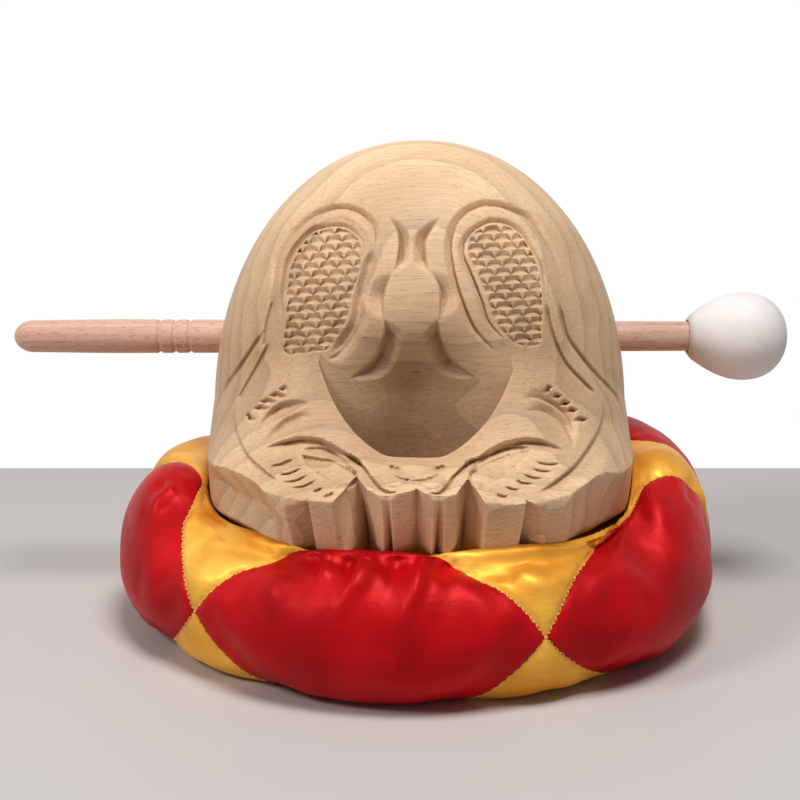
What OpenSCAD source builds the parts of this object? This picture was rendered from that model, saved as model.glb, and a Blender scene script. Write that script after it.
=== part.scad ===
// A carved wooden fish drum that lies in a round satin cushion, with its striker
// stored through the two round holes at the ends of the sound slit.
// Millimetres. X runs along the striker, -Y is the carved front and Z is up.
// The origin is the middle of the cushion's underside, on the table.
// Azimuths are in degrees: 0 is the carved front, 90 the right flank, 180 the back.

/* [Wooden fish] */
// Width of the block across its flanks
block_w = 150; // [136:1:164]
// Height of the block from its flat underside to the top of the dome
block_h = 128; // [118:1:140]
// Reach of the dome ahead of the block's axis
dome_front = 62; // [58:1:66]
// Reach of the dome behind the block's axis
dome_back = 56; // [52:1:64]
// Roundness of the dome: 2 is an ellipse, more is fuller
dome_round = 2.1; // [1.9:0.05:2.5]
// Height of the widest part of the dome above the underside
waist_rise = 30; // [26:1:34]
// Height of the underside above the table
base_z = 40; // [36:1:46]

/* [Fish heads and carrying loop] */
// Reach of the two heads ahead of the block's axis
head_reach = 90; // [86:1:94]
// Height of the rim between the faces and the toothed front, above the underside
rim_rise = 22; // [19:1:25]
// Height of the loop's lower edge above the underside
lip_rise = 6.5; // [5:0.5:8]
// How much the manes stand proud of the dome at the flanks
mane_proud = 1.5; // [0.5:0.5:2.5]
// Depth of the notches between the teeth
notch_depth = 5; // [3:0.5:7]
// Width of those notches where they meet the front
notch_w = 6; // [4:0.5:8]
// Thickness of the loop at the pearl
loop_t = 20; // [18:1:23]

/* [Fish bodies] */
// Half width of each raised fish body
fish_half_w = 17; // [15:0.5:19]
// Half height of each raised fish body
fish_half_h = 27; // [24:1:29]
// Height of the middle of the fish bodies above the underside
fish_rise = 85; // [82:1:89]
// How much the band round each fish body stands out
band_proud = 2; // [1:0.5:3]
// Depth of the hollow between the fish bodies, above the gap
recess_depth = 12.5; // [11:0.5:14]

/* [Sound cavity and slit] */
// Radius of the hollow at its middle
cavity_r = 34; // [28:1:36]
// Length of the hollow from flank to flank
cavity_len = 104; // [90:2:110]
// How far the hollow's middle lies behind the block's axis
cavity_back = 6; // [3:1:8]
// Height of the sawn slit
slit_h = 8; // [6:0.5:10]
// Height of the slit's middle above the underside
slit_rise = 58; // [54:1:62]
// Radius of the round hole at each end of the slit
hole_r = 7.5; // [7:0.25:9]
// How far the holes lie behind the block's axis
hole_back = 12; // [9:1:16]

/* [Striker] */
// Length of the stick
stick_len = 268; // [250:1:280]
// Radius of the stick at its grip
grip_r = 6.2; // [5.8:0.1:6.4]
// Radius of the stick where it enters the rubber head
tip_r = 5.4; // [5:0.1:5.7]
// Distance from the grip end to the first ring groove
ring_from_end = 53.5; // [45:0.5:60]
// Distance between the ring grooves
ring_pitch = 5.5; // [4:0.5:7]
// Depth of the ring grooves
ring_depth = 0.6; // [0.4:0.1:1]
// Length of the rubber head
rubber_len = 36; // [32:1:40]
// Largest radius of the rubber head
rubber_r = 16; // [14:0.5:17]
// Radius of the flat face where the rubber head meets the stick
neck_r = 7; // [6.5:0.25:8]
// Depth of the socket in the rubber head
socket_depth = 22; // [18:1:26]
// Space between the block's flank and the rubber head
neck_gap = 23; // [20:1:30]

/* [Cushion] */
// Radius of the cushion at its side seams
cushion_r = 105; // [102:1:112]
// Height of the corners where the side seams meet
corner_h = 23; // [20:1:26]
// Height of the cushion's crest where the block doesn't press on it
crest_h = 60; // [56:1:64]
// Radius of the cushion where it meets the table
floor_r = 88; // [82:1:94]
// How much each panel bulges between its seams
crown_h = 3; // [1.5:0.5:4]
// Thickness of a panel of lined satin
cloth_t = 1.2; // [0.8:0.1:1.6]
// Rows of facets from one corner of a panel to the next
panel_rows = 4; // [3:1:4]

/* [Clearances] */
// Space between the stick and the bottom of the holes that carry it
stick_gap = 0.3; // [0.2:0.1:0.5]
// Space between the stick and its socket
socket_gap = 0.05; // [0.02:0.01:0.1]
// How far the cushion's hollow is moved down and out from the block's edge
dish_gap = 1; // [0.9:0.1:1.4]
// Space between the panels and the stuffing at the stuffing's corners
fill_gap = 1.2; // [1.1:0.1:1.6]

/* [Hidden] */
panel_count = 6;
first_corner = -41; // azimuth of the first side corner
panel_step = 360 / panel_count;
top_z = base_z + block_h;
waist_z = base_z + waist_rise;
rim_z = base_z + rim_rise;
lip_z = base_z + lip_rise;
half_w = block_w / 2;
head_round = 2.5; // roundness of the heads seen from above
front_lean = 6; // how much the toothed front leans back below the rim
lip_undercut = 4; // how far the loop's underside runs in below its lip
horn_azimuth = 32; // where the ends of the carrying loop meet the fish bodies
horn_rise = 41; // how high those ends climb above the rim
pearl_rise = 15; // height of the loop at the pearl, above the rim
cheek_rise = 16; // height above the rim where the faces begin at the flanks
horn_z = rim_z + horn_rise;
pearl_z = rim_z + pearl_rise;
cheek_z = rim_z + cheek_rise;
edge_rise = 7; // height of the rounding at the underside's edge
recess_over = 13; // how far the hollow between the fish bodies runs on above the horns
recess_fade = 28; // height over which that hollow gets shallow again
bare_crown = 8; // height at the very top that has no carving
gap_mid = -2; // the carver's gap sits a little to the left
gap_outer = head_reach - loop_t;
hole_z = base_z + slit_rise;
head_x = half_w + neck_gap;
grip_x = head_x + socket_depth - stick_len;
cap_len = 7; // length of the rounded grip end
barrel_from = 40; // where the grip starts to taper
flank_d = -half_w - grip_x; // distance from the grip end to the left flank
stick_z = hole_z - hole_r + stick_r(flank_d) + stick_gap;
notch_azimuths = [-50, -24, -12, -1, 10, 24, 40];
tooth_blend = 2; // how far a notch runs up past the rim
overrun = 5; // how far a cut runs on past the surface that it opens
far = 400; // longer than any cut needs
fine = 64;

// ---- small helpers ----
function clamp01(t) = max(0, min(1, t));
function smooth(t) = let (c = clamp01(t)) c * c * (3 - 2 * c);
function mix(a, b, t) = a + (b - a) * t;
function bump(t) = 1 - smooth(abs(t));
function turn(a) = let (b = a % 360) b > 180 ? b - 360 : (b < -180 ? b + 360 : b);
function at(a, r, z) = [r * sin(a), -r * cos(a), z];
function oval_r(a, across, along, n) =
  pow(pow(abs(sin(a)) / across, n) + pow(abs(cos(a)) / along, n), -1 / n);

// ---- the carved block, as a radius for each azimuth and height ----
function dome_profile(z) =
  let (t = clamp01((z - waist_z) / (top_z - waist_z)))
  pow(max(0, 1 - pow(t, dome_round)), 1 / dome_round);
function reach(a) = cos(a) > 0 ? dome_front : dome_back;

// The deep hollow between the fish bodies, just above the finger gap.
function recess(a, z) =
  recess_depth * (1 - smooth(abs(a - gap_mid) / (horn_azimuth + 2)))
    * smooth((horn_z + recess_over - z) / recess_fade);

// One raised fish body: a groove outside, a proud band, and a sunk field of scales.
fish_azimuth = 31;
fish_lean = 17;
groove_depth = 1.5;
field_depth = 1;
function fish_relief(a, z, side) =
  let (
    across = (a - side * fish_azimuth) * PI / 180 * dome_front,
    up = z - base_z - fish_rise,
    u = across * cos(fish_lean) + side * up * sin(fish_lean),
    w = up * cos(fish_lean) - side * across * sin(fish_lean),
    d = norm([u / fish_half_w, w / fish_half_h])
  )
  band_proud * bump((d - 0.95) / 0.22) - groove_depth * bump((d - 1.25) / 0.16)
    - field_depth * smooth((0.8 - d) / 0.15);

function dome_r(a, z) =
  oval_r(a, half_w - mane_proud, reach(a), dome_round) * dome_profile(z) - recess(a, z)
    + (z > top_z - bare_crown ? 0 : fish_relief(a, z, -1) + fish_relief(a, z, 1));

// The faces slope out from the dome to the rim. Near the pearl the slope becomes a bar.
function loop_share(a) = smooth((abs(a - gap_mid) - 6) / (horn_azimuth - 8));
function face_top(a) =
  mix(mix(pearl_z, horn_z, loop_share(a)), cheek_z, smooth((abs(a) - 45) / 40));
function face_power(a) = mix(0.35, 1.6, loop_share(a)) - 0.7 * smooth((abs(a) - 50) / 35);
function face_share(a, z) = pow(clamp01((face_top(a) - z) / (face_top(a) - rim_z)), face_power(a));
function head_r(a) =
  cos(a) > 0 ? oval_r(a, half_w, head_reach, head_round)
    : mix(oval_r(a, half_w, dome_back, dome_round),
        oval_r(a, half_w - mane_proud, dome_back, dome_round), smooth(-cos(a) * 3));

// Below the rim: the toothed front leans back, then the underside runs in to its flat.
function edge(z) = 1 - 0.12 * pow(clamp01(1 - (z - base_z) / edge_rise), 2.2);
function front(a) = pow(max(0, cos(a)), 2);
function foot_r(a, z) =
  head_r(a) * edge(z) - front(a) * (front_lean * clamp01((rim_z - z) / (rim_z - lip_z))
    + lip_undercut * clamp01((lip_z - z) / (lip_z - base_z)));
function body_r(a, z) =
  z <= rim_z ? foot_r(a, z) : mix(dome_r(a, z), head_r(a), cos(a) > 0 ? face_share(a, z)
    : face_share(90, z) * (1 - smooth(-cos(a) * 3)));

front_step = 2.5;
side_step = 10;
body_azimuths = concat([for (a = [-60:front_step:60]) a], [for (a = [60 + side_step:side_step:290]) a]);
body_heights = concat(
  [for (t = [0, 0.2, 0.5]) mix(base_z, base_z + edge_rise, t)],
  [for (t = [0:3]) mix(lip_z, rim_z, t / 4)],
  [for (t = [0:8]) mix(rim_z, cheek_z, t / 8)],
  [for (t = [2.5:2.5:87.5]) cheek_z + (top_z - cheek_z) * sin(t)]
);

// A closed skin through rings of points, with a middle point at each end.
module ringed_skin(rings, low, high) {
  n = len(rings[0]);
  m = len(rings);
  points = concat([for (ring = rings) for (p = ring) p], [low, high]);
  faces = concat(
    [for (i = [0:m - 2], j = [0:n - 1]) [i * n + j, (i + 1) * n + j, (i + 1) * n + (j + 1) % n]],
    [for (i = [0:m - 2], j = [0:n - 1]) [i * n + j, (i + 1) * n + (j + 1) % n, i * n + (j + 1) % n]],
    [for (j = [0:n - 1]) [n * m, j, (j + 1) % n]],
    [for (j = [0:n - 1]) [n * m + 1, (m - 1) * n + (j + 1) % n, (m - 1) * n + j]]
  );
  polyhedron(points, faces, convexity = 6);
}

module carved_block() {
  rings = [for (z = body_heights) [for (a = body_azimuths) at(a, body_r(turn(a), z), z)]];
  ringed_skin(rings, [0, 0, base_z], [0, 0, top_z]);
}

// The finger gap: a crescent between the loop and the hollow, open above and below.
horn_taper = 7; // how much nearer the axis the loop's inner wall is at its horns
gap_skin = 0.3; // keeps the cut just off the hollow's own surface
function gap_out(t) = gap_outer - horn_taper * t * t;
function gap_in(a, t, z) = min(gap_out(t) - 2 * gap_skin, dome_r(a, max(z, pearl_z)) + gap_skin);
module finger_gap() {
  low = base_z - overrun;
  heights = concat([low], [for (k = [0:6]) mix(pearl_z, horn_z, k / 6)]);
  sections = [for (i = [-8:8]) let (t = i / 8, a = gap_mid + (horn_azimuth - 2) * t) concat(
    [at(a, gap_out(t), low)],
    [for (z = heights) at(a, gap_in(a, t, z), z)],
    [at(a, gap_out(t), horn_z)]
  )];
  ends = [for (k = [0, 16]) (sections[k][0] + sections[k][len(heights)]) / 2];
  ringed_skin(sections, ends[0], ends[1]);
}

// Each notch leans back with the toothed front that it cuts.
module tooth_notches() {
  for (a = notch_azimuths)
    rotate(a) translate([0, -body_r(a, lip_z), lip_z])
      rotate([atan(front_lean * front(a) / (rim_z - lip_z)), 0, 0])
        translate([0, 0, base_z - lip_z - overrun]) linear_extrude(rim_z + tooth_blend + overrun - base_z)
          polygon([[0, notch_depth], [notch_w, -notch_w], [-notch_w, -notch_w]]);
}

module sound_cavity() {
  half = [for (t = [0:12:180]) [cavity_r * sin(t), -cavity_len / 2 * cos(t)]];
  translate([0, cavity_back, hole_z]) rotate([0, 90, 0]) rotate_extrude($fn = fine) polygon(half);
}

module sound_slit() {
  translate([-far / 2, hole_back, hole_z - slit_h / 2]) cube([far, far, slit_h]);
  translate([-far / 2, hole_back, hole_z]) rotate([0, 90, 0]) cylinder(r = hole_r, h = far, $fn = fine);
}

module fish_body() {
  color("burlywood") difference() {
    carved_block();
    finger_gap();
    tooth_notches();
    sound_cavity();
    sound_slit();
  }
}

// ---- the striker ----
function stick_r(d) = d < barrel_from ? mix(grip_r - 0.4, grip_r, smooth(d / barrel_from))
  : mix(grip_r, tip_r, clamp01((d - barrel_from) / (stick_len - socket_depth - barrel_from)));

module striker_stick() {
  cap = [for (t = [0:15:75]) [stick_r(cap_len) * sin(t), cap_len * (1 - cos(t))]];
  rings = [for (i = [0:2]) ring_from_end + i * ring_pitch];
  grooves = [for (d = rings, s = [-1:1]) [stick_r(d) - (s == 0 ? ring_depth : 0), d + s]];
  taper = [for (d = [cap_len, barrel_from / 2, barrel_from]) [stick_r(d), d]];
  end = [[tip_r, stick_len - socket_depth], [tip_r, stick_len], [0, stick_len]];
  color([0.87, 0.71, 0.64]) translate([grip_x, hole_back, stick_z]) rotate([0, 90, 0])
    rotate_extrude($fn = fine) polygon(concat(cap, taper, grooves, end));
}

// The rubber head: widest a little past its middle, with a flat neck face.
widest = 0.56;
function rubber_profile(t) = t < widest ? mix(neck_r, rubber_r, pow(sin(90 * t / widest), 0.9))
  : rubber_r * pow(max(0, 1 - pow((t - widest) / (1 - widest), 2.2)), 1 / 2.2);
module striker_head() {
  outline = [for (i = [0:24]) let (t = mix(0, 1, sin(90 * i / 24))) [rubber_profile(t), t * rubber_len]];
  color("whitesmoke") translate([head_x, hole_back, stick_z]) rotate([0, 90, 0])
    rotate_extrude($fn = fine) difference() {
      polygon(concat([[0, 0]], outline));
      translate([-1, -1]) square([tip_r + socket_gap + 1, socket_depth + socket_gap + 1]);
    }
}

// ---- the cushion, as a profile of levels for each azimuth ----
// Level 0 is the middle of the underside and last_level the middle of the top.
floor_level = 1;
corner_level = floor_level + panel_rows;
crest_level = corner_level + panel_rows;
last_level = crest_level + 5;
function pressed(a) = 1 - smooth((abs(turn(a)) - 30) / 40);
function lip_r(a) = body_r(turn(a), lip_z);
function crest_r(a) = mix(lip_r(a), cushion_r, 0.34 - 0.14 * min(0, cos(a)));
press_depth = 3; // how far the block's front presses the crest below the loop's lip
function crest_z(a) = mix(crest_h, lip_z - press_depth, pressed(a));
function dish(a, rise) = [body_r(turn(a), base_z + rise) + dish_gap, base_z + rise - dish_gap];
function profile(a, level) =
  level <= 0 ? [0, 0] :
  level <= corner_level ?
    let (b = 90 * (level - floor_level) / panel_rows)
    [mix(floor_r, cushion_r, sin(b)), corner_h * (1 - cos(b))] :
  level <= crest_level ?
    let (b = 90 * (level - corner_level) / panel_rows)
    [mix(crest_r(a), cushion_r, cos(b)), mix(corner_h, crest_z(a), sin(b))] :
  level == crest_level + 1 ?
    [mix(crest_r(a), dish(a, lip_rise)[0], 0.65), mix(crest_z(a), dish(a, lip_rise)[1], 0.25)] :
  level == crest_level + 2 ? dish(a, lip_rise) :
  level == crest_level + 3 ? dish(a, lip_rise / 2) :
  level == crest_level + 4 ? dish(a, 0) : [0, base_z - dish_gap];
function outward(a, level) =
  level <= 0 ? [0, -1] : level >= last_level ? [0, 1] :
  let (t = profile(a, level + 1) - profile(a, level - 1)) [t[1], -t[0]] / norm(t);
function cushion_point(a, level, out) =
  let (p = profile(a, level) + outward(a, level) * out) at(a, p[0], p[1]);

// A panel is rows of points, each [level, number of points]. Rows with one point are corners.
half_span = panel_step / 2;
function row_azimuth(mid, row, i) =
  row[1] == 1 ? mid : mid + half_span * (2 * i - row[1] + 1) / panel_rows;
function row_crown(row, i) =
  row[1] == 1 || row[0] > crest_level || row[0] < floor_level + 1 ? 0 :
  let (q = (2 * i - row[1] + 1) / (row[1] - 1)) crown_h * (1 - q * q) * (row[1] - 1) / panel_rows;
function row_start(rows, k) = k == 0 ? 0 : row_start(rows, k - 1) + rows[k - 1][1];

// Triangles between row k and row k + 1, whose lengths are equal or differ.
function strip(rows, k, base) =
  let (
    n = rows[k][1], m = rows[k + 1][1],
    p = base + row_start(rows, k), q = base + row_start(rows, k + 1)
  )
  m == 1 ? [for (i = [0:n - 2]) [p + i, q, p + i + 1]] :
  n == 1 ? [for (i = [0:m - 2]) [p, q + i, q + i + 1]] :
  m > n ? concat([for (i = [0:n - 1]) [p + i, q + i, q + i + 1]],
    [for (i = [0:n - 2]) [p + i, q + i + 1, p + i + 1]]) :
  m < n ? concat([for (i = [0:m - 1]) [p + i, q + i, p + i + 1]],
    [for (i = [0:m - 2]) [p + i + 1, q + i, q + i + 1]]) :
  concat([for (i = [0:n - 2]) [p + i, q + i, q + i + 1]],
    [for (i = [0:n - 2]) [p + i, q + i + 1, p + i + 1]]);

module panel(mid, rows) {
  total = row_start(rows, len(rows));
  last = len(rows) - 1;
  outer = [for (row = rows) for (i = [0:row[1] - 1])
    cushion_point(row_azimuth(mid, row, i), row[0], row_crown(row, i))];
  inner = [for (row = rows) for (i = [0:row[1] - 1])
    cushion_point(row_azimuth(mid, row, i), row[0], row_crown(row, i) - cloth_t)];
  skin = [for (k = [0:last - 1]) for (f = strip(rows, k, 0)) f];
  left = [for (k = [0:last]) row_start(rows, k)];
  right = [for (k = [0:last]) row_start(rows, k) + rows[k][1] - 1];
  faces = concat(
    skin,
    [for (f = skin) [f[2] + total, f[1] + total, f[0] + total]],
    [for (k = [0:last - 1]) [left[k], left[k] + total, left[k + 1] + total]],
    [for (k = [0:last - 1]) [left[k], left[k + 1] + total, left[k + 1]]],
    [for (k = [0:last - 1]) [right[k], right[k + 1] + total, right[k] + total]],
    [for (k = [0:last - 1]) [right[k], right[k + 1], right[k + 1] + total]]
  );
  polyhedron(concat(outer, inner), faces, convexity = 4);
}

function corner_azimuth(i) = first_corner + panel_step * (i - 1);

module red_panel(i) {
  up = [for (k = [0:panel_rows]) [floor_level + k, k + 1]];
  down = [for (k = [1:panel_rows]) [corner_level + k, panel_rows + 1 - k]];
  color("firebrick") panel(corner_azimuth(i) + half_span, concat(up, down));
}

module gold_top_panel(i) {
  up = [for (k = [0:panel_rows]) [corner_level + k, k + 1]];
  over = [for (k = [1:4]) [crest_level + k, panel_rows + 1]];
  color("goldenrod") panel(corner_azimuth(i), concat(up, over, [[last_level, 1]]));
}

module gold_base_panel(i) {
  up = [for (k = [0:panel_rows - 1]) [floor_level + k, panel_rows + 1 - k]];
  color("goldenrod") panel(corner_azimuth(i), concat([[0, 1]], up, [[corner_level, 1]]));
}

module stuffing() {
  azimuths = [for (a = [0:half_span / 2:360 - half_span / 2]) first_corner + a];
  depth = cloth_t + fill_gap;
  rings = [for (level = [floor_level:last_level - 1])
    [for (a = azimuths) cushion_point(a, level, -depth)]];
  color("linen") ringed_skin(rings, [0, 0, depth], [0, 0, base_z - dish_gap - depth]);
}

fish_body();
striker_stick();
striker_head();
stuffing();
for (i = [1:panel_count]) {
  red_panel(i);
  gold_top_panel(i);
  gold_base_panel(i);
}
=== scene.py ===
# %% [markdown]
# # A carved wooden fish drum on its satin cushion
# A wooden fish drum is cut from one block of camphor wood: a dome, two fish whose heads
# bite a pearl and so form a carrying loop, and a toothed lower edge. It lies in a round
# cushion of red and gold satin, and its striker is stored through the two sound holes.
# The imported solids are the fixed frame, and every piece here is made around them.

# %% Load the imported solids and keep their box
import math

import bmesh
import bpy
import numpy as np
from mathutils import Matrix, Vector
from mathutils.bvhtree import BVHTree
from mathutils.kdtree import KDTree


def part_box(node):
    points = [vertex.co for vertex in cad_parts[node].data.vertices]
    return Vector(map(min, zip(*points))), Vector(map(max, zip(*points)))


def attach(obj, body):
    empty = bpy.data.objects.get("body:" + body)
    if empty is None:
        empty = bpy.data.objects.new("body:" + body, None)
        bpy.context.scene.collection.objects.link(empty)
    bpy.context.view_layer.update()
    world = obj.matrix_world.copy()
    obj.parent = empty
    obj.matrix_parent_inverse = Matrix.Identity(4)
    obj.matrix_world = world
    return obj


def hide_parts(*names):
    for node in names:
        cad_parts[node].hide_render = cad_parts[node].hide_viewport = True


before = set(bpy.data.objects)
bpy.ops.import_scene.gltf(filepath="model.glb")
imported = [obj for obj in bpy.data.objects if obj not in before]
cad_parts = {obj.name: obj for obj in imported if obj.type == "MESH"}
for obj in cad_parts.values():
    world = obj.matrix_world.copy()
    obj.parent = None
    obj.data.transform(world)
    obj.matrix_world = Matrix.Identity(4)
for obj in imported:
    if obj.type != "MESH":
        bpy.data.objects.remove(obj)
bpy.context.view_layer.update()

# %% [markdown]
# ## Small helpers
# The forms are worked out in millimetres, as a carver measures them, and turned into
# metres once, where a mesh is made. `smooth` is the soft step that most forms use. Places
# round the object are given as a bearing in degrees, 0 at the carved front and 90 towards
# the striker's head, because both the block and its cushion are nearly round.

# %% Units, soft steps and bearings
MM = 0.001


def clamp01(t):
    return np.clip(t, 0.0, 1.0)


def smooth(t):
    c = clamp01(t)
    return c * c * (3 - 2 * c)


def mix(a, b, t):
    return a + (b - a) * t


def bump(t):
    return 1 - smooth(np.abs(t))


def stand(bearing, r, z):
    """The points at some bearings, radii and heights."""
    a = np.radians(bearing)
    return np.stack([r * np.sin(a), -r * np.cos(a), z], axis=-1)


def bearing_of(points):
    return np.degrees(np.arctan2(points[:, 0], -points[:, 1]))


def radius_of(points):
    return np.hypot(points[:, 0], points[:, 1])


# %% Meshes
def make_piece(name, points, faces):
    """A mesh object from points in millimetres."""
    mesh = bpy.data.meshes.new(name)
    mesh.from_pydata((np.asarray(points) * MM).tolist(), [], faces)
    mesh.validate()
    piece = bpy.data.objects.new(name, mesh)
    bpy.context.scene.collection.objects.link(piece)
    return piece


def settled(piece):
    """A plain mesh of a piece as its modifiers leave it."""
    return bpy.data.meshes.new_from_object(piece.evaluated_get(bpy.context.evaluated_depsgraph_get()))


def shade_softly(piece, sharp=None):
    """Shades a piece smoothly, apart from edges sharper than an angle in degrees."""
    piece.data.polygons.foreach_set("use_smooth", np.ones(len(piece.data.polygons), dtype=bool))
    if sharp:
        piece.data.set_sharp_from_angle(angle=math.radians(sharp))


def ringed_skin(rings, low, high):
    """Points and faces of a closed skin through rings of points, with a middle at each end."""
    m, n = rings.shape[:2]
    here = np.arange(m * n).reshape(m, n)
    after = np.roll(here, -1, axis=1)
    walls = np.stack([here[:-1], after[:-1], after[1:], here[1:]], axis=-1).reshape(-1, 4)
    floor = [[m * n, after[0, j], here[0, j]] for j in range(n)]
    roof = [[m * n + 1, here[-1, j], after[-1, j]] for j in range(n)]
    points = np.concatenate([rings.reshape(-1, 3), [low, high]])
    return points, walls.tolist() + floor + roof


# %% [markdown]
# ## Camera
# The photograph looks down a little on the carved front from a short way off. The camera
# is set from measured values, so a place on the picture can be found on the object. The
# same numbers give the carver's template: the front as it is seen, in millimetres.

# %% Set the camera and the carver's template
EYE_AIM = np.array([-7.0, 0.0, 75.6])
EYE_DISTANCE = 531.0
EYE_RISE = math.radians(12.5)
LENS_MM = 66.15
SENSOR_MM = 36.0
TEMPLATE_SIZE = 800 * LENS_MM / SENSOR_MM
TEMPLATE_SCALE = TEMPLATE_SIZE / EYE_DISTANCE
TEMPLATE_MIDDLE = 20 / TEMPLATE_SCALE
eye = EYE_AIM + EYE_DISTANCE * np.array([0, -math.cos(EYE_RISE), math.sin(EYE_RISE)])
camera = bpy.data.objects.new("camera", bpy.data.cameras.new("camera"))
camera.data.lens = LENS_MM
camera.data.sensor_width = SENSOR_MM
camera.location = eye * MM
camera.rotation_euler = (math.pi / 2 - EYE_RISE, 0, 0)
bpy.context.scene.collection.objects.link(camera)
bpy.context.scene.camera = camera
bpy.context.scene.view_settings.view_transform = "Standard"


def template(points):
    """Where points in millimetres fall on the carver's template: across, up, and how far away."""
    x, y, z = (points - EYE_AIM)[..., 0], points[..., 1], points[..., 2] - EYE_AIM[2]
    away = EYE_DISTANCE + y * math.cos(EYE_RISE) - z * math.sin(EYE_RISE)
    across = EYE_DISTANCE * x / away - TEMPLATE_MIDDLE
    up = EYE_DISTANCE * (y * math.sin(EYE_RISE) + z * math.cos(EYE_RISE)) / away
    return across, up + EYE_AIM[2], away


print("camera at", list(camera.location))

# %% [markdown]
# ## The block of camphor wood
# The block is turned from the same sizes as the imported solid: a dome, two faces that slope
# out to a rim, and a toothed front that leans back below it. It could be sculpted, but a
# formula for the radius at each bearing and height keeps it on the frame, and gives an even
# net of points fine enough to carve.

# %% The block's sizes
low_body, high_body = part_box("fish_body")
BASE_Z = low_body.z / MM
TOP_Z = high_body.z / MM
HALF_W = 75.0
DOME_FRONT, DOME_BACK = 62.0, 56.0
DOME_ROUND, HEAD_ROUND = 2.1, 2.5
MANE_PROUD = 1.5
HEAD_REACH = 90.0
WAIST_Z = BASE_Z + 30
RIM_Z = BASE_Z + 22
LIP_Z = BASE_Z + 6.5
PEARL_Z, HORN_Z, CHEEK_Z = RIM_Z + 11.5, RIM_Z + 41, RIM_Z + 16
GAP_MID = -2.0
HORN_AT = 32.0
RECESS_DEPTH = 12.5
print("block from", round(BASE_Z, 2), "to", round(TOP_Z, 2))


# %% The dome, and the recess below its middle
def oval_r(a, across, along, power):
    """The radius of an oval whose corners are fuller the higher its power."""
    s, c = np.abs(np.sin(a)) / across, np.abs(np.cos(a)) / along
    return (s ** power + c ** power) ** (-1 / power)


def dome_profile(z):
    t = clamp01((z - WAIST_Z) / (TOP_Z - WAIST_Z))
    return (1 - t ** DOME_ROUND) ** (1 / DOME_ROUND)


def recess(bearing, z):
    across = 1 - smooth(np.abs(bearing - GAP_MID) / (HORN_AT + 2))
    return RECESS_DEPTH * across * smooth((HORN_Z + 13 - z) / 28)


def dome_r(bearing, z):
    a = np.radians(bearing)
    along = np.where(np.cos(a) > 0, DOME_FRONT, DOME_BACK)
    return oval_r(a, HALF_W - MANE_PROUD, along, DOME_ROUND) * dome_profile(z) - recess(bearing, z)


# %% [markdown]
# ## The toothed front
# Below the faces the block is sawn into teeth. Their tops and bottoms are two lines round
# the front, each a list of corners: bearing, height, and how far in from the full head.
# The wall between the two lines, and the face above, then follow by mixing.

# %% The two lines of the toothed front
RIM_LINE = np.array([
    (-180, 62, 0), (-60, 62, 0), (-49.5, 66, 0), (-41, 67.5, 0), (-36, 66, 0), (-32, 61.5, 0),
    (-30.7, 58, 0), (-28, 58.8, 0), (-23.2, 60, 6), (-22.8, 61.5, 0.3), (-17.6, 62.2, 0),
    (-14.7, 67.6, 8.5), (-14.2, 68, 9.5), (-11.2, 66.5, 3), (-8.4, 66, 0.3), (-7, 66, 0),
    (-2.5, 66.5, 1), (-1.3, 66.5, 4), (0, 66.5, 1), (3.3, 66.5, 0), (6.6, 66, 1.5),
    (9.6, 67.5, 9.5), (10, 67, 9.5), (12.6, 60.5, 0),
    (16, 61.7, 0), (20.4, 62, 0.3), (20.8, 60.5, 6), (24.7, 59, 0), (29, 59.2, 0), (31, 62.5, 0),
    (34, 66, 0.5), (39, 67.3, 1.2), (43, 66.8, 1), (48, 63, 0), (60, 62, 0), (180, 62, 0)])
LIP_LINE = np.array([
    (-180, 46.5, 0), (-66, 46, 0), (-48, 48.5, 1), (-40.6, 48, 1), (-34.2, 46, 0), (-33.4, 45.6, 0),
    (-28, 45.6, 0), (-23.2, 46.5, 8), (-22.8, 45.6, 0.3), (-15.8, 45.6, 0), (-15, 46.2, 1),
    (-13.6, 50.5, 12), (-10, 48, 3), (-8.1, 45.8, 0.5), (-7, 46.5, 6), (-6.2, 46.3, 0.5),
    (-1.3, 50.3, 5), (2.2, 46.3, 0.5), (3.3, 47, 6), (4.5, 46.3, 0.5), (5.8, 46.3, 0.5), (7.3, 48, 3),
    (10.2, 52, 12), (12.8, 46.5, 1), (15, 45.6, 0), (19.8, 46.3, 0), (20.4, 46.4, 0.3), (20.8, 46.8, 8),
    (23.3, 46.5, 2), (25.3, 45.6, 0), (29.8, 45.6, 0), (31.9, 46.4, 0), (39, 48.9, 2), (51.4, 49.4, 1),
    (60, 47, 0), (180, 46.5, 0)])
SCOOP_FROM, SCOOP_TO, SCOOP_DEEP = -64, -31.5, 5.0


def on_line(line, bearing, part):
    return np.interp(bearing, line[:, 0], line[:, part])


def rim_z(bearing):
    return on_line(RIM_LINE, bearing, 1)


def lip_z(bearing):
    return on_line(LIP_LINE, bearing, 1)


# %% The two faces, from the dome out to the rim
def face_loop(bearing):
    """From 0 at the middle of the loop to 1 at its ends."""
    return smooth((np.abs(bearing - GAP_MID) - 6) / (HORN_AT - 8))


def face_top(bearing):
    """The height at which the faces leave the dome."""
    return mix(mix(PEARL_Z, HORN_Z, face_loop(bearing)), CHEEK_Z, smooth((np.abs(bearing) - 45) / 40))


def face_share(bearing, z):
    """How far out the faces stand, from the dome at their top to the full head at a softened rim."""
    soft_rim = sum(rim_z(bearing + turn) for turn in range(-12, 13, 3)) / 9
    power = mix(0.35, 1.6, face_loop(bearing)) - 0.7 * smooth((np.abs(bearing) - 50) / 35)
    return clamp01((face_top(bearing) - z) / (face_top(bearing) - soft_rim)) ** power


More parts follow.
